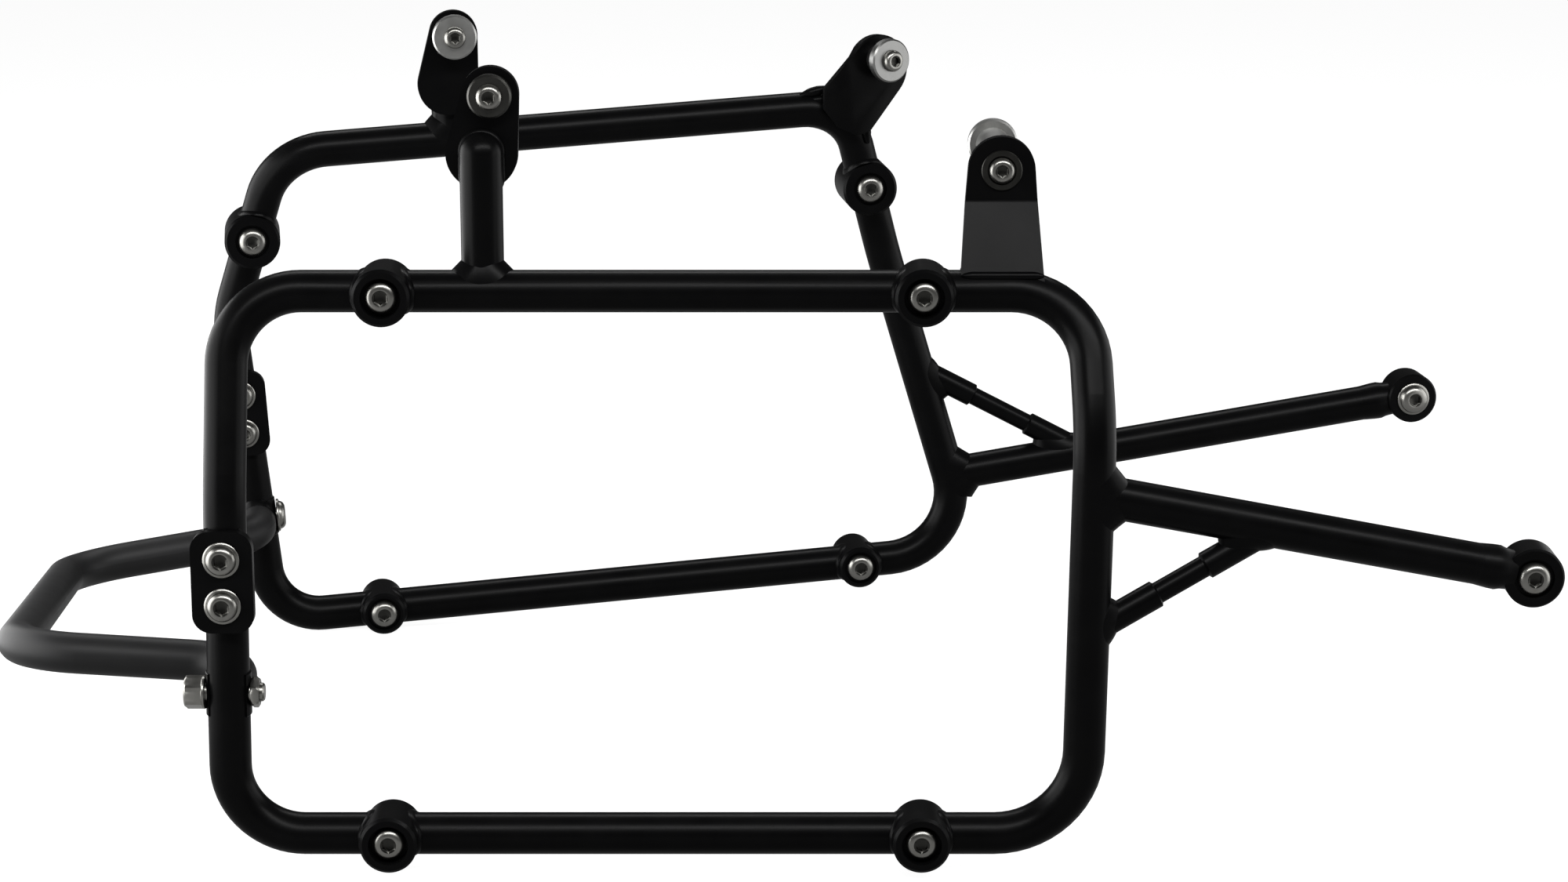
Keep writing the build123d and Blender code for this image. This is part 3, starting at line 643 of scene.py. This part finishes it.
@dataclass
class Hardware:
    """Screws of one hoop, with domed heads, hexagon sockets and real threads, in millimetres."""

    hoop: HoopFrame
    zinc: Material
    # Painted shade: the darker zinc of the hexagon sockets.
    socket: Material
    sleeve_gap: float = 0.5
    link_seat: float = 12.5
    link_grip: float = 14.0
    link_half: float = 10.0
    link_flange_r: float = 7.7
    flange_r: float = 8.5
    tie_seat: float = 9.7
    tie_grip: float = 28.0
    shank: tuple = ((0.0, -19.4), (4.0, -19.4), (4.0, 4.9), (3.3, 5.6), (0.0, 5.6))
    washer: tuple = ((0.0, 0.0), (6.9, 0.0), (7.2, 0.3), (7.2, 1.1), (6.9, 1.4), (0.0, 1.4))
    cap_heights: tuple = (1.2, 8.0, 8.9)
    cap_r: float = 6.1

    def piece(self, name: str) -> ScrewPiece:
        """Start one of the hoop's screw pieces."""
        return ScrewPiece(f"{self.hoop.name}_{name}_detail", Slot.ZINC, self.socket)

    def done(self, piece: ScrewPiece, name: str) -> None:
        """Finish a screw piece in place of its node."""
        piece.finish(self.zinc, f"{self.hoop.name}_{name}")

    def pucks(self, hubs: tuple, grips: tuple, sleeve: float) -> None:
        """Build the screws and sleeve nuts of the four pucks.

        Args:
            hubs: puck centres in hoop coordinates.
            grips: outward distance of each screw's seat from its hub.
            sleeve: inward distance of the sleeve nuts' seats.
        """
        out = self.hoop.turn(0.0, 1.0, 0.0)
        screws, nuts = self.piece("puck_screws"), self.piece("puck_nuts")
        for hub, grip in zip(hubs, grips):
            centre = self.hoop.point(*hub)
            screws.head(M8, seat(centre + out * grip * MM, out), grip)
            nuts.head(M8, seat(centre - out * sleeve * MM, -out), sleeve - self.sleeve_gap)
        self.done(screws, "puck_screws")
        self.done(nuts, "puck_nuts")

    def links(self, z: float, toward: float) -> None:
        """Build the two flanged screws in the link plate.

        Args:
            z: the plate's height.
            toward: 1 where it faces outward and -1 where it faces inward.
        """
        hub = self.hoop.point(*self.hoop.upright(self.hoop.rear, z))
        axis = self.hoop.turn(0.0, toward, 0.0)
        rise = self.hoop.turn(0.0, 0.0, 1.0)
        bolts = self.piece("link_bolts")
        for step in (-self.link_half, self.link_half):
            place = hub + axis * self.link_seat * MM + rise * step * MM
            bolts.head(M8, seat(place, axis), self.link_grip, self.link_flange_r)
        self.done(bolts, "link_bolts")

    def tie(self, z: float) -> None:
        """Build the flanged cross bolt of a saddle.

        Args:
            z: the saddle's height.
        """
        hub = self.hoop.point(*self.hoop.upright(self.hoop.rear, z))
        axis = self.hoop.turn(1.0, 0.0, 0.0)
        bolt = self.piece("tie_bolt")
        bolt.head(M8, seat(hub + axis * self.tie_seat * MM, axis), self.tie_grip, self.flange_r)
        self.done(bolt, "tie_bolt")

    def hexagon_tie(self, z: float) -> None:
        """Build a cross bolt with a hexagon head on a washer, and a low nut at its other end.

        Args:
            z: the saddle's height.
        """
        hub = self.hoop.point(*self.hoop.upright(self.hoop.rear, z))
        axis = self.hoop.turn(1.0, 0.0, 0.0)
        bolt, head = self.piece("tie_bolt"), self.piece("tie_nut")
        front = seat(hub + axis * self.tie_seat * MM, axis)
        rear = seat(hub - axis * self.tie_seat * MM, -axis)
        bolt.nut(LOW_NUT, front)
        bolt.lathe(self.shank, front)
        head.lathe(self.washer, rear)
        corner = M8.nut_af / math.sqrt(3)
        foot, shoulder, top = self.cap_heights
        cap = [(0.0, foot), (corner, foot), (corner, shoulder), (self.cap_r, top), (0.0, top)]
        head.lathe(cap, rear, (corner, M8.nut_af))
        self.done(bolt, "tie_bolt")
        self.done(head, "tie_nut")

    def through(
        self, name: str, size: ScrewSize, place: Vector, axis: Vector, grip: float, reach: float
    ) -> None:
        """Build a screw whose threaded end stands free.

        Args:
            name: the node's name without its side.
            size: the thread's sizes.
            place: the head's seat.
            axis: direction out of the head.
            grip: length from the seat to the free end.
            reach: length of the free end.
        """
        bolt = self.piece(name)
        bolt.head(size, seat(place, axis), grip)
        bolt.thread(size, seat(place - axis * grip * MM, -axis), reach)
        self.done(bolt, name)


@dataclass(frozen=True)
class Bar:
    """A round bar without ends; its radius is in millimetres."""

    point: Vector
    axis: Vector
    radius: float

    def seen_from(self, place: Matrix) -> "Bar":
        """The same bar in a place's own axes, in millimetres."""
        back = place.inverted()
        return Bar((back @ self.point) / MM, back.to_3x3() @ self.axis, self.radius)

    def _across(self, vector: Vector) -> Vector:
        """Part of a vector that lies across the bar."""
        return vector - self.axis * vector.dot(self.axis)

    def normal(self, point: Vector) -> Vector:
        """Direction out of the bar at a point."""
        return self._across(point - self.point).normalized()

    def pressed(self, point: Vector) -> Vector:
        """The point pressed onto the bar's surface."""
        return point - self._across(point - self.point) + self.normal(point) * self.radius

    def exit(self, angle: float, radius: float) -> Vector:
        """Where a line along Z leaves the bar.

        Args:
            angle: the line's angle round Z.
            radius: its distance from Z.

        Returns:
            The point.
        """
        line = Vector((math.cos(angle), math.sin(angle), 0.0)) * radius
        foot = self._across(line - self.point)
        rise = self._across(Vector((0.0, 0.0, 1.0)))
        a, b, c = rise.length_squared, foot.dot(rise), foot.length_squared - self.radius ** 2
        line.z = (math.sqrt(max(b * b - a * c, 0.0)) - b) / a
        return line


@dataclass(frozen=True)
class Stay:
    """Places of one stay in hoop millimetres, and the weld collar behind its eye."""

    root_z: float
    eye: tuple
    brace_z: float
    brace_x: float
    collar: tuple = (
        (0.0, 9.5), (8.6, 9.5), (9.0, 13.5), (9.7, 16.0),
        (9.6, 19.0), (9.1, 24.5), (8.8, 26.5), (0.0, 26.5),
    )


@dataclass(frozen=True)
class Post:
    """Places of one bracket post in hoop millimetres."""

    x: float
    offset: float
    top: float
    plate_low: float
    tube_offset: float = 172.0
    flat_offset: float = 164.5
    bead: float = 2.0
    bead_lift: float = 0.4
    bead_lap: float = 2.0


@dataclass(frozen=True)
class TieSaddle:
    """Half sleeve that carries one end of the tie bar on a rear upright, in millimetres."""

    z: float
    sleeve_r: float = 9.7
    bore_r: float = 8.9
    half_height: float = 9.5
    spread_deg: float = 244.0
    soft: float = 0.3
    stub_r: float = 9.0
    stub: tuple = (2.0, 12.0)

    def build(self, hoop: HoopFrame, coat: Material) -> None:
        """Build the sleeve and the stub that the bar ends in.

        Args:
            hoop: the hoop that it sits on.
            coat: its finish.
        """
        piece = Piece(f"{hoop.name}_tie_saddle_detail", Slot.COAT)
        hub = hoop.point(*hoop.upright(hoop.rear, self.z))
        rise = hoop.along(hoop.rear, self.z)
        inward = hoop.turn(0.0, -1.0, 0.0)
        level = (inward - rise * inward.dot(rise)).normalized()
        axes = Matrix((level, rise.cross(level), rise)).transposed().to_4x4()
        h, soft = self.half_height, self.soft
        section = [(self.bore_r, -h), (self.sleeve_r - soft, -h), (self.sleeve_r, soft - h)]
        section += [(self.sleeve_r, h - soft), (self.sleeve_r - soft, h), (self.bore_r, h)]
        piece.sleeve(section, self.spread_deg, Matrix.Translation(hub) @ axes)
        near, far = self.stub
        profile = [(0.0, near), (self.stub_r, near), (self.stub_r, far), (0.0, far)]
        piece.lathe(profile, seat(hub, inward))
        piece.finish(coat, f"{hoop.name}_tie_saddle")


@dataclass(frozen=True)
class CornerPlate:
    """Bent bracket plate on the left hoop's upper front corner, in millimetres of the plate."""

    hub: tuple = (128.7, 163.0, 245.0)
    hole: tuple = (16.3, 26.6)
    turn_deg: float = 24.0
    end: tuple = (16.5, 21.6)
    end_r: float = 17.2
    foot: tuple = ((-14.4, 14.2), (-15.0, 4.0), (-8.0, -6.0), (2.0, -11.0), (9.1, -9.8))
    half_sheet: float = 2.5
    soft: float = 0.6

    def place(self, hoop: HoopFrame, along: float, depth: float, up: float) -> Vector:
        """Model point of a point of the plate, which is bent at its hub.

        Args:
            hoop: the hoop that it sits on.
            along: distance along the plate.
            depth: distance out of its middle plane.
            up: distance above the hub.

        Returns:
            The point in metres.
        """
        bend = math.radians(self.turn_deg) if along > 0.0 else 0.0
        forward = along * math.cos(bend) - depth * math.sin(bend)
        out = along * math.sin(bend) + depth * math.cos(bend)
        x, offset, z = self.hub
        return hoop.point(x + forward, offset + out, z + up)

    def outline(self, inset: float) -> Profile:
        """Corners of the plate's outline, moved in by a distance.

        Args:
            inset: the distance.

        Returns:
            The corners in the plate's own plane.
        """
        x, z = self.end
        r = self.end_r - inset
        turns = [math.tau * step / TURN_STEPS for step in range(TURN_STEPS)]
        corners = [(x + r * math.cos(t), z + r * math.sin(t)) for t in turns]
        share = 1.0 - inset / self.end_r
        return corners + [(x + (a - x) * share, z + (b - z) * share) for a, b in self.foot]

    def build(self, hoop: HoopFrame, coat: Material) -> None:
        """Build the plate, bent at its hub so that its foot lies on the tube.

        Args:
            hoop: the hoop that it sits on.
            coat: its finish.
        """
        piece = Piece("left_front_plate_detail", Slot.COAT)
        layers = ((self.soft, self.half_sheet), (0.0, self.half_sheet - self.soft))
        shape = piece.shape
        verts = [
            shape.verts.new(Vector((a, side * depth, b)) * MM)
            for inset, depth in layers
            for side in (-1.0, 1.0)
            for a, b in self.outline(inset)
        ]
        hull = bmesh.ops.convex_hull(shape, input=verts)
        left_over = hull["geom_interior"] + hull["geom_unused"]
        spare = {v for v in left_over if isinstance(v, bmesh.types.BMVert)}
        bmesh.ops.delete(shape, geom=list(spare), context="VERTS")
        bmesh.ops.bisect_plane(
            shape, geom=shape.verts[:] + shape.edges[:] + shape.faces[:],
            plane_co=(0.0, 0.0, 0.0), plane_no=(1.0, 0.0, 0.0),
        )
        for vert in shape.verts:
            vert.co = self.place(hoop, *(vert.co / MM))
        piece.finish(coat, "left_front_plate")


@dataclass
class Welds:
    """Smooth weld fillets of one hoop, under its coat, in millimetres."""

    hoop: HoopFrame
    coat: Material
    tube_r: float = 9.0
    brace_r: float = 6.0
    root_leg: float = 5.2
    foot_leg: float = 4.2
    brace_leg: float = 3.6
    puck_leg: float = 1.8
    saddle_leg: float = 2.4
    fill: float = 0.75
    crown: float = 0.40
    undercut: float = 0.12
    sink: float = 0.6
    ripple: float = 0.035
    lobes: tuple = (7.0, 3.0)
    probe: float = 0.01
    lean: float = 0.5
    seam_step: float = 0.8
    seam_least: int = 8
    seam_taper: float = 2.5
    seam_tip: float = 0.1
    link_x: float = 7.2
    link_out: float = 6.6
    link_half: float = 22.0
    link_bead: float = 1.8

    def __post_init__(self) -> None:
        """Start the hoop's weld piece."""
        self.piece = Piece(f"{self.hoop.name}_weld_fillets", Slot.COAT)

    def fillet(self, root: Vector, branch: Vector, branch_r: float, bar: Bar, leg: float) -> None:
        """Lay a fillet round a branch where it meets a round bar.

        Args:
            root: a point on the branch's axis beside the bar's axis, in metres.
            branch: direction of the branch, away from the bar.
            branch_r: the branch's radius.
            bar: the bar that it meets.
            leg: width of the fillet on both surfaces.
        """
        place = seat(root, branch)
        local = bar.seen_from(place)
        verts = self.piece.ring(branch_r, 1.0)
        for vert in verts:
            angle = math.atan2(vert.co.y, vert.co.x)
            turn = math.atan2(vert.co.z, vert.co.xy.length - branch_r * MM) - math.pi / 4
            turn = math.remainder(turn, math.tau)
            vert.co = self._section(angle, turn, branch_r, local, leg) * MM
        self.piece.move(verts, place)

    def _section(self, angle: float, turn: float, radius: float, bar: Bar, leg: float) -> Vector:
        """Point of a fillet.

        Args:
            angle: the angle round the branch.
            turn: the turn round the fillet's section, which starts at its middle.
            radius: the branch's radius.
            bar: the bar in the branch's axes.
            leg: width of the fillet.

        Returns:
            The point in the branch's axes.
        """
        foot = bar.exit(angle, radius)
        along = (bar.exit(angle + self.probe, radius) - bar.exit(angle - self.probe, radius)).normalized()
        out = Vector((math.cos(angle), math.sin(angle), 0.0))
        face = bar.normal(foot)
        climb = along.cross(out)
        climb = climb if climb.z > 0.0 else -climb
        spread = along.cross(face)
        spread = spread if spread.dot(out - Vector((0.0, 0.0, self.lean))) > 0.0 else -spread
        many, few = self.lobes
        leg *= 1.0 + self.ripple * (math.sin(many * angle) + math.sin(few * angle + radius))
        high = foot + climb * leg
        high.xy = high.xy.normalized() * radius
        low = bar.pressed(foot + spread * leg)
        lift = (out + face).normalized()
        share = abs(turn) / (math.pi / 2)
        if share <= 1.0:
            step = (1.0 + turn / (math.pi / 2)) / 2
            hub = foot.lerp((high + low) / 2, self.fill)
            rise = self.crown * 4.0 * step * (1.0 - step) - self.undercut
        else:
            step = (3.0 - share if turn > 0.0 else share - 1.0) / 2
            hub = foot
            rise = -self.sink
        return low * (1 - step) ** 2 + hub * 2 * step * (1 - step) + high * step ** 2 + lift * rise

    def seam(self, start: Vector, end: Vector, bead: float) -> None:
        """Lay a straight bead between two points, tapered at its ends.

        Args:
            start: the first end, in metres.
            end: the other end.
            bead: its radius.
        """
        old = set(self.piece.shape.verts)
        length = (end - start).length
        steps = max(self.seam_least, round(length / MM / self.seam_step))
        self.piece.spin(self.piece.circle(bead, SEAM_SIDES), 0.0, steps, length / steps)
        verts = self.piece.since(old)
        self.piece.cap(verts, SEAM_SIDES)
        for vert in verts:
            near = min(vert.co.z, length - vert.co.z) / (self.seam_taper * bead * MM)
            vert.co.xy = vert.co.xy * math.sqrt(min(1.0, self.seam_tip + near))
        self.piece.move(verts, seat(start, end - start))

    def stay(self, stay: Stay) -> None:
        """Lay the fillets of a stay and its brace, and the collar behind its eye.

        Args:
            stay: the stay's places.
        """
        hoop = self.hoop
        start = hoop.upright(hoop.front, stay.root_z)
        root = hoop.point(*start)
        tip = hoop.point(*stay.eye)
        along = (tip - root).normalized()
        upright = Bar(root, hoop.along(hoop.front, stay.root_z), self.tube_r)
        self.fillet(root, along, self.tube_r, upright, self.root_leg)
        self.piece.lathe(stay.collar, seat(tip, -along))
        head = root + (tip - root) * ((stay.brace_x - start[0]) / (stay.eye[0] - start[0]))
        foot = hoop.point(*hoop.upright(hoop.front, stay.brace_z))
        strut = (head - foot).normalized()
        upright = Bar(foot, hoop.along(hoop.front, stay.brace_z), self.tube_r)
        self.fillet(foot, strut, self.brace_r, upright, self.brace_leg)
        self.fillet(head, -strut, self.brace_r, Bar(head, along, self.tube_r), self.brace_leg)

    def puck(self, hub: tuple, tube: Vector, puck_r: float) -> None:
        """Lay the fillets where a tube runs into a puck, on both sides.

        Args:
            hub: the puck's centre in hoop coordinates.
            tube: direction of the tube.
            puck_r: the puck's radius.
        """
        centre = self.hoop.point(*hub)
        body = Bar(centre, self.hoop.turn(0.0, 1.0, 0.0), puck_r)
        for branch in (tube, -tube):
            self.fillet(centre, branch, self.tube_r, body, self.puck_leg)

    def post(self, post: Post) -> None:
        """Lay the fillet at a post's foot, and the bead between its flat and the plate.

        Args:
            post: the post's places.
        """
        hoop = self.hoop
        foot = hoop.point(post.x, post.offset, hoop.top_z)
        tube = Bar(hoop.point(post.x, post.tube_offset, hoop.top_z), hoop.turn(1.0, 0.0, 0.0), self.tube_r)
        self.fillet(foot, hoop.turn(0.0, 0.0, 1.0), self.tube_r, tube, self.foot_leg)
        half = math.sqrt(self.tube_r ** 2 - (post.offset - post.flat_offset) ** 2)
        crown = hoop.top_z + post.top - self.tube_r
        offset = post.flat_offset + post.bead_lift
        for side in (-half, half):
            low = hoop.point(post.x + side, offset, hoop.top_z + post.plate_low)
            self.seam(low, hoop.point(post.x + side, offset, crown + post.bead_lap), post.bead)
        arch = self.piece.ring(half, post.bead)
        self.piece.move(arch, seat(hoop.point(post.x, offset, crown), hoop.turn(0.0, 1.0, 0.0)))

    def link(self, z: float, toward: float) -> None:
        """Lay the beads behind both long edges of a link plate.

        Args:
            z: the plate's height.
            toward: 1 where it faces outward and -1 where it faces inward.
        """
        x, offset, _ = self.hoop.upright(self.hoop.rear, z)
        offset += toward * self.link_out
        for side in (-self.link_x, self.link_x):
            low = self.hoop.point(x + side, offset, z - self.link_half)
            self.seam(low, self.hoop.point(x + side, offset, z + self.link_half), self.link_bead)

    def saddle(self, saddle: TieSaddle) -> None:
        """Lay the fillet where the tie bar runs into its saddle.

        Args:
            saddle: the saddle's sizes.
        """
        hoop = self.hoop
        hub = hoop.point(*hoop.upright(hoop.rear, saddle.z))
        sleeve = Bar(hub, hoop.along(hoop.rear, saddle.z), saddle.sleeve_r)
        self.fillet(hub, hoop.turn(0.0, -1.0, 0.0), saddle.stub_r, sleeve, self.saddle_leg)

    def done(self) -> None:
        """Finish the weld piece."""
        self.piece.finish(self.coat)


@dataclass
class Side:
    """Finishes of the new pieces on one hoop."""

    zinc: Material
    socket: Material
    # Painted shade: the darker zinc for the sockets and the tab's washer.
    coat: Material


@dataclass
class RightSide(Side):
    """Screws and welds of the right hoop, in hoop millimetres."""

    hoop: HoopFrame = RIGHT_HOOP
    hubs: tuple = (
        (-113.5, 172.0, 245.5), (113.5, 172.0, 245.5),
        (-113.5, 195.0, 13.0), (113.5, 195.0, 13.0),
    )
    puck_r: float = 12.3
    screw_seat: float = 12.0
    sleeve_seat: float = 10.0
    link_z: float = 129.0
    saddle: TieSaddle = TieSaddle(77.0)
    front_seat: tuple = (146.5, 162.5, 295.3)
    bolts: tuple = (
        ("rear_bolt", M6, (-68.0, 170.5, 327.5), 11.0),
        ("front_bolt", M6, front_seat, 75.0),
        ("stay_bolt", M8, (375.8, 175.0, 121.2), 16.0),
    )
    reach: float = 16.0
    stay: Stay = Stay(164.2, (375.8, 168.0, 121.2), 103.4, 262.0)
    post: Post = Post(-72.0, 168.5, 67.0, 43.0)
    tab_x: tuple = (129.0, 164.0)
    tab_seams: tuple = ((177.1, 252.9), (170.8, 254.4))
    tab_bead: float = 1.9
    washer: tuple = ((5.9, 0.0), (8.6, 0.0), (8.6, 0.6), (8.3, 0.9), (6.2, 0.9), (5.9, 0.6), (5.9, 0.0))

    def screws(self) -> None:
        """Build the screws, and the washer on the tab, which is dressed in painted shade all over."""
        out = self.hoop.turn(0.0, 1.0, 0.0)
        screws = Hardware(self.hoop, self.zinc, self.socket)
        screws.pucks(self.hubs, (self.screw_seat,) * len(self.hubs), self.sleeve_seat)
        screws.links(self.link_z, 1.0)
        screws.hexagon_tie(self.saddle.z)
        for name, size, place, grip in self.bolts:
            screws.through(name, size, self.hoop.point(*place), out, grip, self.reach)
        # The washer is dressed all over in the painted-shade zinc.
        washer = Piece("right_front_washer", Slot.ZINC)
        washer.lathe(self.washer, seat(self.hoop.point(*self.front_seat), out))
        washer.finish(self.socket)

    def welds(self) -> None:
        """Build the saddle and the welds."""
        hoop = self.hoop
        self.saddle.build(hoop, self.coat)
        welds = Welds(hoop, self.coat)
        for hub in self.hubs:
            welds.puck(hub, hoop.turn(1.0, 0.0, 0.0), self.puck_r)
        welds.stay(self.stay)
        welds.post(self.post)
        welds.link(self.link_z, 1.0)
        welds.saddle(self.saddle)
        for offset, z in self.tab_seams:
            ends = [hoop.point(x, offset, z) for x in self.tab_x]
            welds.seam(*ends, self.tab_bead)
        welds.done()


@dataclass
class LeftSide(Side):
    """Screws and welds of the left hoop, in hoop millimetres."""

    hoop: HoopFrame = LEFT_HOOP
    upper_z: float = 203.8
    lower: tuple = ((-130.0, 195.0, 0.0), (122.0, 195.0, 0.0))
    upper_puck_r: float = 14.0
    lower_puck_r: float = 11.0
    screw_seats: tuple = (12.5, 12.5, 12.0, 12.0)
    sleeve_seat: float = 12.5
    link_z: float = 112.0
    saddle: TieSaddle = TieSaddle(54.5)
    rear_seat: tuple = (-70.4, 147.5, 302.0)
    plate: CornerPlate = CornerPlate()
    spacer_h: float = 14.5
    grip: float = 17.0
    reach: float = 7.0
    eye_half: float = 9.0
    eye_reach: float = 8.5
    stay: Stay = Stay(42.5, (419.0, 168.0, 69.6), 102.0, 245.6)
    post: Post = Post(-75.0, 172.0, 35.0, 16.0)
    corner_seams: tuple = (
        ((118.0, 167.0, 259.0), (103.0, 169.0, 255.5)),
        ((119.0, 167.0, 253.5), (102.0, 169.0, 252.0)),
        ((137.0, 170.0, 228.0), (136.0, 171.0, 240.0)),
    )
    corner_bead: float = 2.6

    def uppers(self) -> tuple:
        """Hubs of the two upper pucks, on the rear and the front upright."""
        return tuple(self.hoop.upright(run, self.upper_z) for run in (self.hoop.rear, self.hoop.front))

    def screws(self) -> None:
        """Build the screws, and the nut of the stay's eye."""
        hoop = self.hoop
        inward = hoop.turn(0.0, -1.0, 0.0)
        screws = Hardware(hoop, self.zinc, self.socket)
        screws.pucks(self.uppers() + self.lower, self.screw_seats, self.sleeve_seat)
        screws.links(self.link_z, -1.0)
        screws.tie(self.saddle.z)
        screws.through("rear_bolt", M6, hoop.point(*self.rear_seat), inward, self.grip, self.reach)
        turn = math.radians(self.plate.turn_deg)
        plate_in = hoop.turn(math.sin(turn), -math.cos(turn), 0.0)
        along, up = self.plate.hole
        front = self.plate.place(hoop, along, 0.0, up) + plate_in * self.spacer_h * MM
        screws.through("front_bolt", M6, front, plate_in, self.grip, self.reach)
        eye = hoop.point(*self.stay.eye)
        half = inward * self.eye_half * MM
        near, far = seat(eye + half, inward), seat(eye - half, -inward)
        bolt = screws.piece("stay_bolt")
        bolt.head(M8, near, 2 * self.eye_half, screws.flange_r)
        bolt.thread(M8, far, self.eye_reach)
        bolt.nut(M8, far)
        screws.done(bolt, "stay_bolt")

    def welds(self) -> None:
        """Build the saddle, the corner plate and the welds."""
        hoop = self.hoop
        self.saddle.build(hoop, self.coat)
        self.plate.build(hoop, self.coat)
        welds = Welds(hoop, self.coat)
        for hub, run in zip(self.uppers(), (hoop.rear, hoop.front)):
            welds.puck(hub, hoop.along(run, self.upper_z), self.upper_puck_r)
        for hub in self.lower:
            welds.puck(hub, hoop.turn(1.0, 0.0, 0.0), self.lower_puck_r)
        welds.stay(self.stay)
        welds.post(self.post)
        welds.link(self.link_z, -1.0)
        welds.saddle(self.saddle)
        for seam in self.corner_seams:
            ends = [hoop.point(*end) for end in seam]
            welds.seam(*ends, self.corner_bead)
        welds.done()


@dataclass(frozen=True)
class Lamp:
    """A rectangular soft lamp, with its place, aim, width and height in metres and its power in watts."""

    name: str
    place: tuple
    aim: tuple
    size: tuple
    power: float

    def hang(self) -> None:
        """Hang the lamp, out of the camera's sight."""
        data = bpy.data.lights.new(self.name, "AREA")
        data.shape = "RECTANGLE"
        data.size, data.size_y = self.size
        data.energy = self.power
        lamp = bpy.data.objects.new(self.name, data)
        lamp.visible_camera = False
        lamp.location = self.place
        lamp.rotation_euler = (Vector(self.aim) - Vector(self.place)).to_track_quat("-Z", "Y").to_euler()
        bpy.context.collection.objects.link(lamp)


# Aims and sizes that lamps share, in metres
MIDDLE = (0.0, 0.0, 0.15)
CARD_AIM = (0.0, 0.0, 0.22)
SIDE_BOX = (2.2, 1.3)
CARD = (1.0, 0.44)


@dataclass
class Studio:
    """White floor, soft lamps and the camera of the photograph."""

    camera_mm: tuple = (-119.96, -1726.51, 557.17)
    pitch_down_deg: float = 13.5
    turn_deg: float = -4.0
    focal_px: float = 4800.0
    clip_end: float = 50.0
    floor_half: float = 6.0
    floor_colour: tuple = (0.16, 0.16, 0.16, 1.0)
    floor_glow: tuple = (0.93, 0.93, 0.93, 1.0)
    floor_dark: tuple = (0.0, 0.0, 0.0, 1.0)
    floor_rough: float = 0.95
    mirror_share: float = 0.25
    world_colour: tuple = (0.06, 0.06, 0.06, 1.0)
    lamps: tuple = (
        Lamp("front_soft_box", (0.3, -1.44, 1.64), MIDDLE, (3.0, 0.4), 66.0),
        Lamp("left_soft_box", (-1.9, 0.05, 0.55), MIDDLE, SIDE_BOX, 24.0),
        Lamp("right_soft_box", (2.0, 0.05, 0.55), MIDDLE, SIDE_BOX, 13.0),
        Lamp("left_card", (-0.58, 0.0, 0.22), CARD_AIM, CARD, 6.0),
        Lamp("right_card", (0.64, 0.0, 0.22), CARD_AIM, CARD, 2.0),
        Lamp("back_soft_box", (0.0, 1.5, 1.9), MIDDLE, (2.0, 0.4), 20.0),
    )

    def floor(self) -> None:
        """Lay the pale floor, which shows as the white background and keeps the soft shadow."""
        mesh = bpy.data.meshes.new("studio_floor")
        shape = bmesh.new()
        bmesh.ops.create_grid(shape, x_segments=1, y_segments=1, size=self.floor_half)
        shape.to_mesh(mesh)
        shape.free()
        plane = bpy.data.objects.new("studio_floor", mesh)
        bpy.context.collection.objects.link(plane)
        sheet = Sheet("pale_floor")
        mirrored = sheet.path("Is Glossy Ray") + sheet.path("Is Transmission Ray")
        seen = sheet.path("Is Camera Ray") + mirrored * self.mirror_share
        sheet.set(
            Base_Color=self.floor_colour,
            Roughness=self.floor_rough,
            Specular_IOR_Level=0.0,
            Emission_Color=sheet.blend(seen, self.floor_dark, self.floor_glow),
            Emission_Strength=1.0,
        )
        mesh.materials.append(sheet.material)

    def world(self) -> None:
        """Set an even grey surround above the floor."""
        world = bpy.data.worlds.new("studio_world")
        bpy.context.scene.world = world
        world.use_nodes = True
        back = world.node_tree.nodes["Background"]
        back.inputs["Color"].default_value = self.world_colour
        back.inputs["Strength"].default_value = 1.0

    def camera(self) -> None:
        """Stand the camera where the photograph was taken from."""
        data = bpy.data.cameras.new("photo_camera")
        data.sensor_fit = "HORIZONTAL"
        data.sensor_width = SENSOR_WIDTH_MM
        data.lens = self.focal_px / IMAGE_WIDTH * SENSOR_WIDTH_MM
        data.clip_end = self.clip_end
        camera = bpy.data.objects.new("photo_camera", data)
        camera.location = Vector(self.camera_mm) * MM
        camera.rotation_euler = (math.radians(90.0 - self.pitch_down_deg), 0.0, math.radians(self.turn_deg))
        bpy.context.collection.objects.link(camera)
        bpy.context.scene.camera = camera

    def build(self) -> None:
        """Set up the whole studio."""
        bpy.context.scene.view_settings.view_transform = "Standard"
        self.floor()
        self.world()
        for lamp in self.lamps:
            lamp.hang()
        self.camera()


def dress_nodes(frame: dict, finishes: dict[Slot, Material]) -> None:
    """Give every CAD node the finish of its slot, or its own where it has one.

    Args:
        frame: the loaded frame.
        finishes: the material for each slot.
    """
    special = {name: surface.material() for name, surface in NODE_SURFACES.items()}
    slots = {row["node"]: Slot(row["material_slot"]) for row in frame["record"]["subparts"]}
    for name, node in frame["nodes"].items():
        for place in node.material_slots:
            place.material = special.get(name, finishes[slots[name]])
        LOG.info("dressed %s", name)


def main() -> None:
    """Load the frame, dress it and set up the studio."""
    logging.basicConfig(level=logging.INFO)
    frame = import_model()
    finishes = {slot: surface.material() for slot, surface in SLOT_SURFACES.items()}
    dress_nodes(frame, finishes)
    # The second finish is the painted-shade zinc of the sockets and the tab's washer.
    looks = finishes[Slot.ZINC], PAINTED_SHADE_ZINC.material(), finishes[Slot.COAT]
    for side in (RightSide(*looks), LeftSide(*looks)):
        side.screws()
        side.welds()
    Studio().build()


if __name__ == "__main__":
    main()
